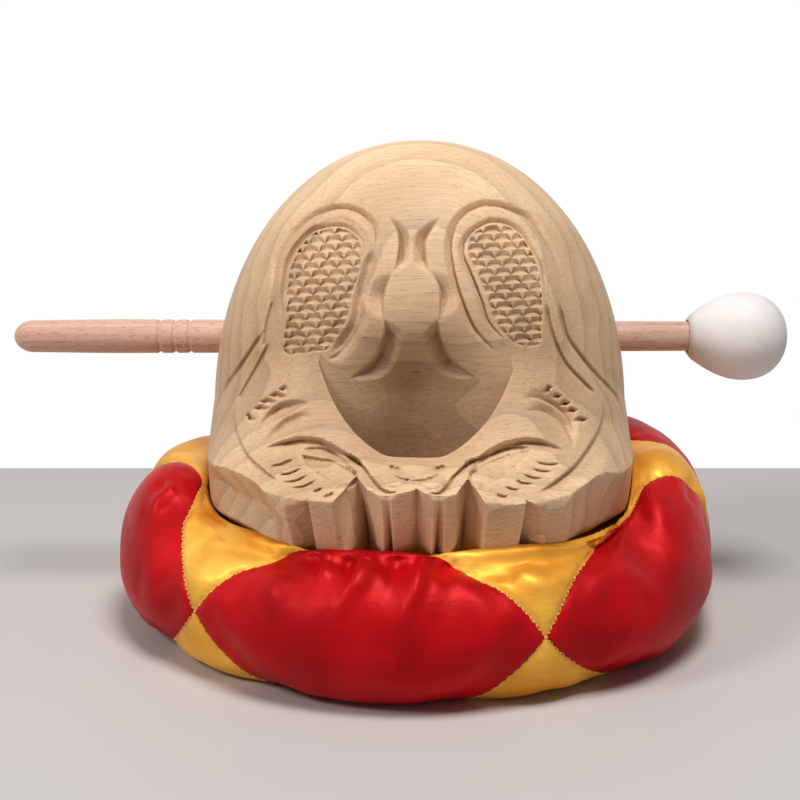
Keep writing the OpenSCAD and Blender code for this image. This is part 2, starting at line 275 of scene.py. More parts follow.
def head_r(bearing):
    """The radius of the block at its widest, round both heads and the back."""
    a = np.radians(bearing)
    front = oval_r(a, HALF_W, HEAD_REACH, HEAD_ROUND)
    back = mix(oval_r(a, HALF_W, DOME_BACK, DOME_ROUND),
               oval_r(a, HALF_W - MANE_PROUD, DOME_BACK, DOME_ROUND), smooth(-3 * np.cos(a)))
    return np.where(np.cos(a) > 0, front, back)


def foot_r(bearing, z):
    """The toothed wall between the two lines, and the bevel that runs in below it."""
    front = np.maximum(0, np.cos(np.radians(bearing))) ** 2
    rim = head_r(bearing) - on_line(RIM_LINE, bearing, 2)
    lip = head_r(bearing) - 6 * front - on_line(LIP_LINE, bearing, 2)
    seat = np.minimum(head_r(bearing) * 0.88 - 10 * front, lip - 0.5)
    down = clamp01((rim_z(bearing) - z) / (rim_z(bearing) - lip_z(bearing)))
    under = clamp01((lip_z(bearing) - z) / (lip_z(bearing) - BASE_Z))
    scoop = smooth((bearing - SCOOP_FROM) / 8) * smooth((SCOOP_TO - bearing) / 2)
    crease = mix(0.3, 0.6, smooth((bearing - SCOOP_FROM) / 14))
    wall = mix(rim, lip, down) - SCOOP_DEEP * scoop * np.minimum(down / crease, (1 - down) / (1 - crease))
    return mix(wall, seat, under ** 1.6)


def body_r(bearing, z):
    """The radius of the uncarved block."""
    a = np.radians(bearing)
    side = face_share(np.full_like(bearing, 90.0), z) * (1 - smooth(-3 * np.cos(a)))
    share = np.where(np.cos(a) > 0, face_share(bearing, z), side)
    slope = mix(dome_r(bearing, z), head_r(bearing), share)
    inset = on_line(RIM_LINE, bearing, 2)
    tooth = head_r(bearing) - inset * (1 - smooth((z - rim_z(bearing)) / np.maximum(1.5, 0.5 * inset)))
    return np.minimum(slope, np.where(z <= rim_z(bearing), foot_r(bearing, z), tooth))


# %% Lay an even net of points over the block
FRONT_CELL = 0.4
BACK_STEP = 3.0


def even_heights(cell):
    """Heights from the underside to the crown, closer together where the block slopes away."""
    z = np.linspace(BASE_Z, TOP_Z, 6001)
    slope = np.abs(np.gradient(body_r(np.full_like(z, 40.0), z), z))
    slope = np.maximum(slope, np.abs(np.gradient(body_r(np.full_like(z, 5.0), z), z)))
    run = np.concatenate([[0], np.cumsum(np.hypot(1, np.minimum(slope, 40))[1:] * np.diff(z))])
    return np.interp(np.linspace(0, run[-1], int(run[-1] / cell)), run, z)[:-1]


front_step = math.degrees(FRONT_CELL / HALF_W)
bearings = np.concatenate([np.arange(-78, 78, front_step), np.arange(78, 282, BACK_STEP)])
heights = even_heights(FRONT_CELL)
grid_bearing, grid_z = np.meshgrid(bearings, heights)
grid_bearing = np.where(grid_bearing > 180, grid_bearing - 360, grid_bearing)
RIM_FADE = 28
above = rim_z(grid_bearing) + (grid_z - RIM_Z) / RIM_FADE * (RIM_Z + RIM_FADE - rim_z(grid_bearing))
wall = mix(lip_z(grid_bearing), rim_z(grid_bearing), (grid_z - LIP_Z) / (RIM_Z - LIP_Z))
under = mix(BASE_Z, lip_z(grid_bearing), (grid_z - BASE_Z) / (LIP_Z - BASE_Z))
low_rows = np.where(grid_z < LIP_Z, under, np.where(grid_z < RIM_Z, wall, above))
grid_z = np.where(grid_z < RIM_Z + RIM_FADE, low_rows, grid_z)


block = stand(grid_bearing, body_r(grid_bearing, grid_z), grid_z)
print("net of", block.shape[0], "by", block.shape[1], "points")

# %% [markdown]
# ## The carver's tools
# Chisel cuts could be painted as bump, but then the outline and the shadows would
# stay smooth. Here every cut moves the points of the net, towards or away from the eye, so
# that a cut stays where it was drawn on the template. A few tools do all of it: a gouge, a
# stab whose floor slopes back up, a ridge, a sunk field, and rows of scales.

# %% Where each point of the net falls on the template
across, up, away = template(block)
along_bearing = np.roll(block, -1, axis=1) - np.roll(block, 1, axis=1)
outward = np.cross(along_bearing, np.gradient(block, axis=0))
outward /= np.linalg.norm(outward, axis=-1, keepdims=True)
sight = block - eye
sight /= np.linalg.norm(sight, axis=-1, keepdims=True)
facing = -(outward * sight).sum(axis=-1)
seen = np.flatnonzero(facing.ravel() > 0.06)
X, Z = across.ravel()[seen], up.ravel()[seen]
relief = np.zeros(len(seen))
print("points that the carver can reach:", len(seen))


# %% Lines, and the points near them
def drawn(points, step=0.8):
    """A smooth line through a few chosen places on the template, in millimetres."""
    p = np.array(points, float)
    p = np.concatenate([[2 * p[0] - p[1]], p, [2 * p[-1] - p[-2]]])
    line = []
    for a, b, c, d in zip(p[:-3], p[1:-2], p[2:-1], p[3:]):
        t = np.linspace(0, 1, max(2, int(math.hypot(*(c - b)) / step) + 1))[:-1, None]
        line.append(0.5 * (2 * b + (c - a) * t + (2 * a - 5 * b + 4 * c - d) * t ** 2
                           + (3 * b - a - 3 * c + d) * t ** 3))
    return np.concatenate(line + [p[-2:-1]])


def near(line, reach):
    """The points within reach of a line: which, how far to its left, and how far along it."""
    low, high = line.min(0) - reach, line.max(0) + reach
    which = np.flatnonzero((X > low[0]) & (X < high[0]) & (Z > low[1]) & (Z < high[1]))
    x, z = X[which], Z[which]
    nearest, side, along = np.full(len(which), 1e9), np.ones(len(which)), np.zeros(len(which))
    run = 0.0
    for (ax, az), (bx, bz) in zip(line[:-1], line[1:]):
        dx, dz = bx - ax, bz - az
        length = math.hypot(dx, dz)
        t = clamp01(((x - ax) * dx + (z - az) * dz) / length ** 2)
        gx, gz = x - ax - t * dx, z - az - t * dz
        gap = np.hypot(gx, gz)
        closer = gap < nearest
        nearest = np.where(closer, gap, nearest)
        side = np.where(closer, np.where(dx * gz - dz * gx >= 0, 1.0, -1.0), side)
        along = np.where(closer, run + t * length, along)
        run += length
    return which, nearest * side, along / run


def taper(along, ends):
    """How full a cut is along its line, from 0 at both ends."""
    return smooth(along / ends[0]) * smooth((1 - along) / ends[1])


# %% The tools
def gouge(points, wide, deep, ends=(0.15, 0.15), flip=1):
    """A groove as wide each side as it says, or with flip=-1 a ridge."""
    which, off, along = near(drawn(points), wide)
    full = taper(along, ends)
    relief[which] -= flip * deep * full * bump(off / (wide * mix(0.5, 1, full)))


def stab(points, wall, run, deep, ends=(0.2, 0.2)):
    """A cut whose wall goes in on the left of the line, and whose floor slopes back up."""
    which, off, along = near(drawn(points), wall + run)
    full = taper(along, ends)
    reach = mix(0.12, 1, full ** 0.7)
    cut = smooth(off / (wall * reach)) * clamp01((wall + run - off / reach) / run) ** 1.25
    relief[which] -= deep * full * cut * (np.abs(off) < (wall + run) * 1.01)


def inside(outline):
    """How far each point lies inside a closed outline."""
    line = drawn(list(outline) + [outline[0]])
    which, off, along = near(line, 0)
    x, z = X[which], Z[which]
    within = np.zeros(len(which), bool)
    for (ax, az), (bx, bz) in zip(line[:-1], line[1:]):
        if az != bz:
            crosses = ((az > z) != (bz > z)) & (x < (bx - ax) * (z - az) / (bz - az) + ax)
            within ^= crosses
    return which[within], np.abs(off[within])


def sink(outline, deep, soft):
    """Lowers all that lies inside an outline, or raises it if deep is negative."""
    which, depth = inside(outline)
    relief[which] -= deep * smooth(depth / soft)


def mound(x, z, half_w, half_h, high):
    """Raises an oval swelling."""
    far = np.hypot((X - x) / half_w, (Z - z) / half_h)
    relief[:] += high * np.sqrt(clamp01(1 - far ** 2))


def scales(outline, lean, deep=1.4, pitch=6.1, row=3.05, reach=2.9):
    """Rows of stabbed scales: under each arch a wall slopes in, and the floor rises from it."""
    which, depth = inside(outline)
    lean = math.radians(lean)
    x = X[which] * math.cos(lean) + Z[which] * math.sin(lean)
    z = Z[which] * math.cos(lean) - X[which] * math.sin(lean)
    cut = np.zeros(len(which))
    for shift in (0, 1):
        tall = row * 2
        level = np.floor((z + shift * row) / tall)
        sway = 0.5 * np.sin(level * 12.9 + shift * 2.3)
        place = (x + sway + shift * pitch / 2) / pitch
        hand = np.sin(level * 7.7 + np.floor(place) * 4.1 + shift)
        p = (place % 1 - 0.5) * pitch / (reach * (1 + 0.06 * hand))
        q = ((z + shift * row) / tall % 1) * tall / row
        arch = (1.2 + 0.12 * hand) * np.sqrt(clamp01(1 - p ** 2))
        inner = q / np.maximum(arch, 0.05)
        wedge = np.minimum((1 - inner) / 0.7, (inner + 0.12) / 0.42)
        cut = np.maximum(cut, clamp01(wedge) * (0.85 + 0.2 * hand) * (arch > 0.15))
    relief[which] -= deep * cut * smooth(depth / 0.8)


# %% [markdown]
# ## The two fish bodies
# Each fish is a band with a groove on either side, round a field of scales. Its outer line
# runs down the flank into the mane. The carver's hand shows in small differences between
# the two sides, so each side has its own lines.

# %% The left fish
stab([(-54.5, 103), (-54, 111.5), (-52.3, 118.5), (-51, 125), (-47.7, 130.5), (-43.4, 136.5), (-39, 140.5),
      (-34, 142.8), (-28.5, 144), (-23, 142.8), (-19, 140), (-16.5, 136), (-16.3, 128)],
     0.6, 2.6, 1.8, (0.45, 0.2))
stab([(-49.5, 101), (-49.5, 113), (-48.3, 121.5), (-46.8, 125.5), (-44.6, 129.3), (-41.5, 133),
      (-38.2, 136), (-34, 137.3), (-29.5, 137.8), (-25.8, 136.9), (-22.5, 134.2), (-20.7, 132),
      (-20.5, 127)], 0.5, 2.0, 1.4, (0.45, 0.2))
gouge([(-18, 128), (-18.5, 134.5), (-21, 138.5), (-25, 141.5), (-29, 142.3), (-34, 141.3), (-39, 139),
       (-43, 136), (-46.8, 131), (-49.2, 125.8), (-50.5, 119), (-51.8, 112), (-52, 103)], 1.8, 0.5, flip=-1)
gouge([(-16.5, 131), (-19, 121.5), (-21.5, 113), (-23, 104.5), (-26.5, 98), (-32, 91.5)], 3, 1.9)
stab([(-34, 90), (-28, 95), (-24, 101), (-20.5, 110)][::-1], 1.2, 3, 1.0)
scales([(-20.5, 129), (-22.5, 134.5), (-26, 137), (-30, 138), (-34.5, 137.5), (-38.5, 135.8), (-42, 132.5),
        (-45, 128), (-47.3, 121.5), (-48.4, 113), (-48.5, 104), (-48.9, 92.5), (-37, 93), (-33.5, 93.5),
        (-29.2, 99), (-26, 105), (-24.5, 113), (-22, 121.5)], 4)
gouge([(-53, 112), (-55.5, 102.5), (-56.5, 94)], 0.9, 0.9)
gouge([(-56, 101), (-64.5, 88), (-70.5, 79), (-74, 70)], 1.3, 1.3)
gouge([(-54, 97), (-58.5, 88), (-66.5, 74)], 1.2, 1.1)

# %% The right fish
stab([(31, 91), (27.5, 93.5), (23, 98.5), (19, 104.5), (14.8, 115.5), (12.6, 124), (11.8, 131.5), (13.4, 138),
      (16.5, 142), (20, 144), (23.5, 145), (29, 144.5), (33, 143), (37.5, 141), (41, 138), (43.7, 133.5),
      (46.7, 129), (49.4, 123.5), (51, 117.5), (51.7, 111)], 0.6, 2.8, 2.0, (0.2, 0.35))
stab([(33.5, 95), (28.5, 100), (25, 105), (23, 111.5), (19.3, 121), (16.6, 127), (16.2, 131), (17.3, 133.3),
      (19.5, 136), (23.2, 138.3), (26, 139.2), (30.3, 138.8), (33.5, 137.3), (37.3, 134), (40.3, 129.5),
      (42.5, 126), (43.7, 122.5), (44.8, 116), (45.5, 108)], 0.5, 2.2, 1.6, (0.2, 0.35))
scales([(17.5, 127.5), (17, 131.5), (19.5, 136), (24, 138.5), (30, 139), (34.5, 137.2), (38, 133), (41, 128),
        (43, 122), (44, 115), (44.5, 108), (44, 101), (43.5, 95.5), (36, 95), (30, 99.5), (26.5, 105),
        (24.3, 112), (20.5, 121)], 3)
gouge([(45.5, 112), (46.5, 104), (49, 96), (52.5, 89), (58.5, 82.5), (64.5, 76.5)], 1.3, 1.4)
gouge([(50, 112), (52.5, 100), (56.5, 93.5), (62, 86.5), (70, 77.5), (73.5, 70)], 1.3, 1.3)

# %% The scooped fins between the two fish
for side, inner, waist, tail in [
        (1, [(-9.5, 121.5), (-8.5, 127.5), (-8, 132.5), (-9, 137.5), (-12.3, 142.5)],
         [(-13.2, 103), (-13, 110), (-12, 115.5), (-9.3, 123)],
         [(-13, 105), (-13.5, 99.5), (-15, 94.5), (-18, 89.5), (-26, 83)]),
        (-1, [(3.5, 121), (2.5, 128.5), (2.5, 132.5), (5, 137.5), (8.5, 142.5)],
         [(6.7, 103), (7, 111), (6.5, 116.5), (3.3, 123)],
         [(6.5, 105), (8.5, 98.5), (10.5, 93.5), (14.5, 88.5), (20.5, 83.5)])]:
    stab(inner[::-side], 1.3, 4.2, 3.0, (0.55, 0.25)[::side])
    stab(waist[::side], 1.0, 7.5, 3.2, (0.5, 0.55)[::side])
    stab(tail[::side], 2.1, 5.5, 3.4, (0.2, 0.45)[::side])

# %% [markdown]
# ## The two heads
# Each head has a row of small crescents, two brows, a long mouth line that curls round
# the pearl, an almond eye under its lid, six gill cuts and the edge of the gill cover.

# %% The left head
for arch in [((-47.3, 78.5), (-48.4, 81.4), (-52, 79.6)), ((-47.3, 77), (-51.7, 79.2), (-55.6, 77)),
             ((-50.9, 74.9), (-54.6, 77), (-58.9, 75.2)), ((-53.6, 72.8), (-57.2, 74.5), (-60.8, 72.7)),
             ((-58.7, 68.4), (-61.8, 71.4), (-63.9, 69.8))]:
    stab(arch, 1.8, 1.4, 1.7, (0.3, 0.3))
stab([(-38, 74.3), (-44, 76), (-49.5, 75.5), (-53.5, 73.5), (-56.5, 70), (-60, 64.5)],
     2.6, 3.6, 2.4, (0.4, 0.4))
stab([(-37, 70.2), (-43, 71.8), (-49, 70), (-52.5, 67), (-56, 62.5), (-58, 58)], 3.2, 3.4, 1.9, (0.4, 0.4))
stab([(-19.5, 51.5), (-23, 54.3), (-26, 56.8), (-30.5, 59.5), (-35.5, 62), (-39, 62.6), (-43.5, 62.8),
      (-49.5, 61.5), (-54, 59.6), (-58, 57.5)], 2.2, 5, 2.9, (0.35, 0.3))
stab([(-6.5, 43.5), (-10, 42.8), (-13.5, 44), (-15, 45.5), (-17.5, 48.5), (-19.5, 51.5), (-23, 54.5),
      (-28, 57.5)], 0.9, 3, 1.9)
stab([(-22, 50), (-26, 53.7), (-29.5, 56.5), (-32, 58), (-36, 59), (-41.5, 58.6), (-43.5, 57)], 1.3, 2.4, 1.6)
sink([(-43.5, 56), (-39.5, 55.6), (-35, 54.8), (-31, 54), (-27.5, 52), (-24, 50.5), (-22, 48), (-24, 44),
      (-28, 44), (-31, 45), (-35, 47), (-38, 49.5), (-41, 52)], 1.3, 1.0)
mound(-28.5, 49, 6, 4.2, 0.7)
for ends in [((-56, 51.3), (-50, 52.3), (-44.5, 54.7)), ((-52.5, 48.3), (-47, 49), (-42.3, 51.2)),
             ((-50.5, 45.8), (-45, 46.3), (-40, 48.7)), ((-47.5, 43.8), (-42, 44.3), (-37, 46.8)),
             ((-39.5, 42.4), (-37, 42.8), (-35, 44.1)), ((-36, 40.4), (-33, 41), (-30.5, 42.6))]:
    gouge(ends, 0.8, 1.2, (0.45, 0.3))
stab([(-67, 73), (-66.5, 67.5), (-65, 62), (-62.5, 57), (-60, 54), (-56, 50.5), (-53, 48), (-50, 45.8)][::-1],
     0.6, 9, 1.1)

# %% The right head
for arch in [((48.9, 80.4), (45.9, 81.5), (43.6, 77.8)), ((52, 77.4), (48.9, 78.6), (47.1, 76.3)),
             ((55, 75), (51.7, 76), (49.7, 73.5)), ((57.8, 72.3), (54.2, 73.5), (52.3, 71)),
             ((61.3, 68.9), (57.3, 70.2), (54.9, 67.7))]:
    stab(arch, 1.8, 1.2, 1.8, (0.3, 0.3))
stab([(36, 75.7), (41, 76), (46, 74), (50.5, 71), (53.5, 67.5), (55.5, 62.5)], 0.8, 5.5, 2.3, (0.4, 0.4))
stab([(37, 71.4), (43, 71), (47.5, 69), (51, 66), (54, 61), (55, 57)], 0.9, 5.5, 2.3, (0.4, 0.4))
stab([(54.5, 56.5), (50, 59), (45.5, 61.3), (41, 62.3), (36.5, 62.3), (30, 60.8), (26, 58.8), (21.5, 55.8),
      (17, 53.3)], 2.4, 5, 2.9, (0.35, 0.3))
stab([(26, 58.8), (21.5, 55.6), (17, 53.3), (13.5, 50.3), (11, 47.8), (9, 44.8), (7, 43), (4.5, 42.4),
      (1.5, 43)], 1.0, 3, 2.0)
stab([(42, 58.6), (35, 59.3), (29, 58.2), (22.5, 55), (17, 50.5)], 1.2, 2.4, 1.6)
sink([(41, 58), (34.5, 57), (29, 55.3), (23, 52.8), (17.5, 49.2), (18, 45.5), (21, 43.2), (26.5, 45),
      (30.5, 47.5), (34, 50.5), (38.5, 55)], 1.3, 1.0)
mound(24, 49, 6, 4.2, 0.7)
for ends in [((41, 53.3), (46.5, 52.2), (52, 52.7)), ((40, 50.8), (44, 49.8), (48.5, 49.6)),
             ((37, 48.8), (40.5, 47.5), (45, 47)), ((34, 46.7), (37.5, 45.4), (41.5, 45.2)),
             ((30.5, 44.3), (33.5, 43.2), (37, 43)), ((27, 41.6), (29.5, 40.7), (33, 40.6))]:
    gouge(ends, 0.8, 1.2, (0.3, 0.45))
stab([(66, 75), (65.5, 71), (64.5, 66.5), (62, 61.5), (59, 57), (55.5, 52.5), (52, 49.5), (47.5, 46),
      (42, 41.5)], 1.2, 8, 2.2)

# %% [markdown]
# ## The pearl and the lips
# The two mouths meet at a lens-shaped pearl. Its pits and the swollen lips are small, so
# they are raised and sunk on the same net.

# %% The pearl and the lips
sink([(-10.5, 50), (-8, 53), (-2, 53.6), (5, 53), (7.5, 50.5), (3, 48), (-1.6, 46.5), (-6, 48)], 0.9, 1.5)
mound(-1.6, 50, 8.5, 3.4, 1.8)
gouge([(-11.5, 52), (-9, 50.5), (-6, 50.5)], 1.6, 1.5, (0.3, 0.3))
gouge([(9.5, 52), (7, 50.5), (4.5, 50.5)], 1.6, 1.5, (0.3, 0.3))
mound(-10, 46.8, 5, 2.6, 0.9)
mound(4.5, 46.5, 4.5, 3, 0.9)

# %% Move the net by what was carved
def carve(grid):
    """Every reached point moves along the line of sight by the depth that was carved there."""
    flat, aim = grid.reshape(-1, 3).copy(), sight.reshape(-1, 3)[seen]
    lean = np.clip(facing.ravel()[seen], 0.6, 1)
    fade = smooth((facing.ravel()[seen] - 0.08) / 0.12)
    flat[seen] -= aim * (relief * fade / lean)[:, None]
    return flat.reshape(grid.shape)


carved = carve(block)
print("deepest cut", round(float(-relief.min()), 2), "mm, highest", round(float(relief.max()), 2), "mm")

# %% [markdown]
# ## Saw cuts and hollows
# The finger gap, the notches between the teeth, the sound slit with its two round holes
# and the hollow inside go right through or far in, so they are cut with solids, as a saw
# or a drill would cut them.

# %% The shapes that cut
FAR = 220
GAP_SKIN, GAP_CLEAR = -0.03, 0.3


def turned(profile, middle, count=72):
    """A solid turned about the X axis from radii and places along X."""
    angle = np.linspace(0, 2 * math.pi, count, endpoint=False)
    rings = np.array([[[x, r * math.cos(a), r * math.sin(a)] for a in angle] for r, x in profile]) + middle
    ends = np.array([[profile[0][1], 0, 0], [profile[-1][1], 0, 0]]) + middle
    return ringed_skin(rings, *ends)


def prism(outline, low, high):
    """An upright prism from a plan of its corners."""
    rings = np.array([[[x, y, z] for x, y in outline] for z in (low, high)])
    ends = rings.mean(axis=1)
    return ringed_skin(rings, *ends)


def finger_gap():
    """The crescent behind the loop. Its inner wall lies just off the dome's own net."""
    columns = bearings[(bearings > GAP_MID - HORN_AT + 2) & (bearings < GAP_MID + HORN_AT - 2)]
    rows = heights[(heights > PEARL_Z + 0.3) & (heights < HORN_Z)]
    rows = np.concatenate([[BASE_Z - 5, PEARL_Z - 4, PEARL_Z], rows])
    sections = []
    for b in columns:
        outer = HEAD_REACH - 20 - 7 * ((b - GAP_MID) / (HORN_AT - 2)) ** 2
        over = rows - face_top(b)
        skin = np.where(over < 0, GAP_SKIN * clamp01(-over / 4), GAP_CLEAR * clamp01(over / 3))
        wall = dome_r(np.full_like(rows, b), rows) + skin
        inner = stand(np.full_like(rows, b), np.minimum(outer - 0.3, wall), rows)
        outside = stand(np.full(2, b), np.full(2, outer), rows[[0, -1]])
        sections.append(np.concatenate([outside[:1], inner, outside[1:]]))
    sections = np.array(sections)
    return ringed_skin(sections, sections[0].mean(0), sections[-1].mean(0))


# %% The cutters
HOLE_BACK, HOLE_Z = 12.0, BASE_Z + 58
SLIT_H, HOLE_R = 8.0, 7.5
HOLLOW_R, HOLLOW_HALF, HOLLOW_BACK = 34, 52, 6
half_turn = np.linspace(0, math.pi, 25)
lobe = [(max(0.01, HOLLOW_R * math.sin(t)), -HOLLOW_HALF * math.cos(t)) for t in half_turn]
slit = [(-FAR, HOLE_BACK), (FAR, HOLE_BACK), (FAR, FAR), (-FAR, FAR)]
cutters = {
    "finger_gap": finger_gap(),
    "sound_hollow": turned(lobe, [0, HOLLOW_BACK, HOLE_Z]),
    "slit": prism(slit, HOLE_Z - SLIT_H / 2, HOLE_Z + SLIT_H / 2),
    "end_holes": turned([(HOLE_R, -FAR), (HOLE_R, FAR)], [0, HOLE_BACK, HOLE_Z]),
}
print("cutters:", ", ".join(cutters))


# %% Cut them out of the block
def cut_away(piece, cutter):
    """Takes one solid out of another. Both have to be closed, with their faces outwards."""
    change = piece.modifiers.new("cut", "BOOLEAN")
    change.operation = "DIFFERENCE"
    change.solver = "MANIFOLD"
    change.object = cutter
    cut = settled(piece)
    piece.modifiers.remove(change)
    piece.data = cut


def outward_faces(piece):
    """Turns a closed mesh the right way round."""
    work = bmesh.new()
    work.from_mesh(piece.data)
    bmesh.ops.recalc_face_normals(work, faces=work.faces)
    work.to_mesh(piece.data)
    work.free()


points, faces = ringed_skin(carved, [0, 0, BASE_Z], [0, 0, TOP_Z])
drum = make_piece("carved_drum", points, faces)
for title, shape in cutters.items():
    cutter = make_piece(title, *shape)
    outward_faces(cutter)
    cut_away(drum, cutter)
    bpy.data.objects.remove(cutter)
    print("after", title, len(drum.data.polygons), "faces")

DRUM_TRIANGLES = 190000
fewer = drum.modifiers.new("fewer", "DECIMATE")
drum.data.calc_loop_triangles()
fewer.ratio = min(1, DRUM_TRIANGLES / len(drum.data.loop_triangles))
thinned = settled(drum)
drum.modifiers.remove(fewer)
drum.data = thinned
drum.data.materials.clear()
shade_softly(drum, 40)
drum.data.calc_loop_triangles()
print("drum has", len(drum.data.loop_triangles), "triangles")
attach(drum, "fish")
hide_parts("fish_body")

# %% [markdown]
# ## The cushion's form
# The cushion is sewn from eighteen satin panels: six red diamonds round its side, six gold
# panels that meet at the top, and six below. The fish has pressed its own hollow into it,
# and its front edge has sunk the crest. The skin is one net whose columns and rows meet
# the seams, so that it can be filled as one cushion and cut into panels afterwards.

# %% The cushion's sizes and its profile
CUSHION_R, CUSHION_FLOOR_R = 105.0, 88.0
CORNER_H, CREST_H = 23.0, 60.0
PANEL_COUNT = 6
CORNER_BEARINGS = [-44, 21, 80, 139, 199, 258, 316]
FRONT_MID = -11.5
CROWN = 3.0
LEFT_SAG = 7.0
CLOTH_T = 1.2
DISH_GAP, RIM_GAP = 1.0, 0.5
UNDER_STEP = 0.085
FLOOR_LEVEL, CORNER_LEVEL, CREST_LEVEL, LIP_LEVEL, DISH_LEVEL, MIDDLE_LEVEL = 1, 5, 9, 11, 13, 14


def seat_r(bearing, z):
    """The radius of the block's foot before its teeth are cut, which is what lies in the cushion."""
    front = np.maximum(0, np.cos(np.radians(bearing))) ** 2
    edge = 1 - 0.12 * clamp01(1 - (z - BASE_Z) / 7) ** 2.2
    lean = 6 * clamp01((RIM_Z - z) / (RIM_Z - LIP_Z)) + 4 * clamp01((LIP_Z - z) / (LIP_Z - BASE_Z))
    return head_r(bearing) * edge - front * lean


def pressed(bearing):
    """How much the block's front presses the crest down."""
    return 1 - smooth((np.abs(bearing) - 42) / 38)


def profile_level(bearing, row):
    """The profile's level at a row of the net. The seams climb past the crest and under the edge."""
    near_bearing = (bearing + 180) % 360 - 180
    front = 1 - smooth((np.abs(near_bearing - FRONT_MID) - 12) / 36)
    top = CORNER_LEVEL + 4 * mix(1.42, 1.75, front)
    side_power = 1.95 + 0.65 * np.sin(np.radians(near_bearing))
    climb = 1 - (1 - clamp01((row - CORNER_LEVEL) / 4)) ** mix(side_power, 2.4, front)
    deepest = mix(4.6, 6.4, front)
    drop = deepest * (1 - (1 - clamp01((CORNER_LEVEL - row) / 4)) ** mix(1.15, 1.6, front))
    low = np.where(drop < 4, CORNER_LEVEL - drop, FLOOR_LEVEL - UNDER_STEP * (drop - 4))
    edge = FLOOR_LEVEL - UNDER_STEP * (deepest - 4)
    low = np.where(row < FLOOR_LEVEL, edge * row, low)
    inwards = (row - CREST_LEVEL) / (MIDDLE_LEVEL - CREST_LEVEL)
    high = np.where(row > CREST_LEVEL, mix(top, MIDDLE_LEVEL, inwards), mix(CORNER_LEVEL, top, climb))
    return np.where(row <= CORNER_LEVEL, low, high)


def cushion_place(bearing, level):
    """The place of the cushion's skin at a bearing and a level of its profile."""
    near_bearing = (bearing + 180) % 360 - 180
    crest_z = mix(CREST_H, LIP_Z - 7, pressed(near_bearing)) - LEFT_SAG * bump((near_bearing + 112) / 75)
    touch_z = np.maximum(LIP_Z, crest_z - 5)
    rim_r, rim_h = seat_r(near_bearing, touch_z) + RIM_GAP, touch_z - RIM_GAP
    crest_r = mix(rim_r, CUSHION_R, 0.34 - 0.14 * np.minimum(0, np.cos(np.radians(bearing))))
    side = np.radians(90 * clamp01((level - FLOOR_LEVEL) / (CORNER_LEVEL - FLOOR_LEVEL)))
    over = np.radians(90 * clamp01((level - CORNER_LEVEL) / (CREST_LEVEL - CORNER_LEVEL)))
    roll = clamp01((level - CREST_LEVEL) / (LIP_LEVEL - CREST_LEVEL))
    dish_z = mix(touch_z, BASE_Z, clamp01((level - LIP_LEVEL) / (DISH_LEVEL - LIP_LEVEL)))
    gap = mix(RIM_GAP, DISH_GAP, clamp01(level - LIP_LEVEL))
    dish_r = seat_r(near_bearing, dish_z) + gap
    parts = [level < FLOOR_LEVEL, level <= CORNER_LEVEL, level <= CREST_LEVEL, level <= LIP_LEVEL,
             level <= DISH_LEVEL]
    r = np.select(parts, [CUSHION_FLOOR_R * level, mix(CUSHION_FLOOR_R, CUSHION_R, np.sin(side)),
                          mix(crest_r, CUSHION_R, np.cos(over)), mix(crest_r, rim_r, roll ** 0.8),
                          dish_r], dish_r * (MIDDLE_LEVEL - level))
    z = np.select(parts, [0 * level, CORNER_H * (1 - np.cos(side)), mix(CORNER_H, crest_z, np.sin(over)),
                          mix(crest_z, rim_h, roll ** 1.8), dish_z - gap], BASE_Z - DISH_GAP)
    return stand(bearing, r, z)


# %% Which panel a place belongs to, and how much it bulges there
def from_corner(turn, level):
    """How far a place is from the nearest corner of the seams, round and up, in half panels."""
    return np.abs(turn - 2 * np.round(turn / 2)), np.minimum(1, np.abs(level - CORNER_LEVEL) / 4)


def panel_of(turn, level):
    """Panels 0 to 5 are red, 6 to 11 are gold and on top, 12 to 17 are gold and below."""
    round_way, up_way = from_corner(turn, level)
    gold = np.round(turn / 2).astype(int) % PANEL_COUNT + np.where(level > CORNER_LEVEL, 6, 12)
    return np.where(up_way < round_way, (turn // 2).astype(int) % PANEL_COUNT, gold)


def crown_of(turn, level):
    """How far a panel bulges at a place. It lies flat at its seams, its floor and its hollow."""
    round_way, up_way = from_corner(turn, level)
    red = up_way < round_way
    width = np.where(red, 1 - up_way, up_way)
    offset = np.where(red, 1 - round_way, round_way) / np.maximum(width, 1e-6)
    shown = smooth((level - FLOOR_LEVEL) / 2) * smooth((CREST_LEVEL + 1 - level) / 2)
    return CROWN * (1 - clamp01(offset) ** 2) * width ** 0.8 * shown


# %% The net of the cushion, whose cells meet the seams
PANEL_CELLS = 12
levels = np.concatenate([
    np.linspace(0.15, FLOOR_LEVEL, 6)[:-1],
    np.linspace(FLOOR_LEVEL, CREST_LEVEL, 2 * PANEL_CELLS + 1),
    np.linspace(CREST_LEVEL, MIDDLE_LEVEL - 0.12, 22)[1:]])
turns = np.arange(2 * PANEL_COUNT * PANEL_CELLS) / PANEL_CELLS
net_turn, net_level = np.meshgrid(turns, levels)
net_bearing = np.interp(net_turn, np.arange(0, 2 * PANEL_COUNT + 1, 2), CORNER_BEARINGS)
place_level = profile_level(net_bearing, net_level)
skin = cushion_place(net_bearing, place_level)
skin_out = np.cross(np.roll(skin, -1, 1) - np.roll(skin, 1, 1), np.gradient(skin, axis=0))
skin_out /= np.linalg.norm(skin_out, axis=-1, keepdims=True)
skin = skin + skin_out * crown_of(net_turn, net_level)[..., None]


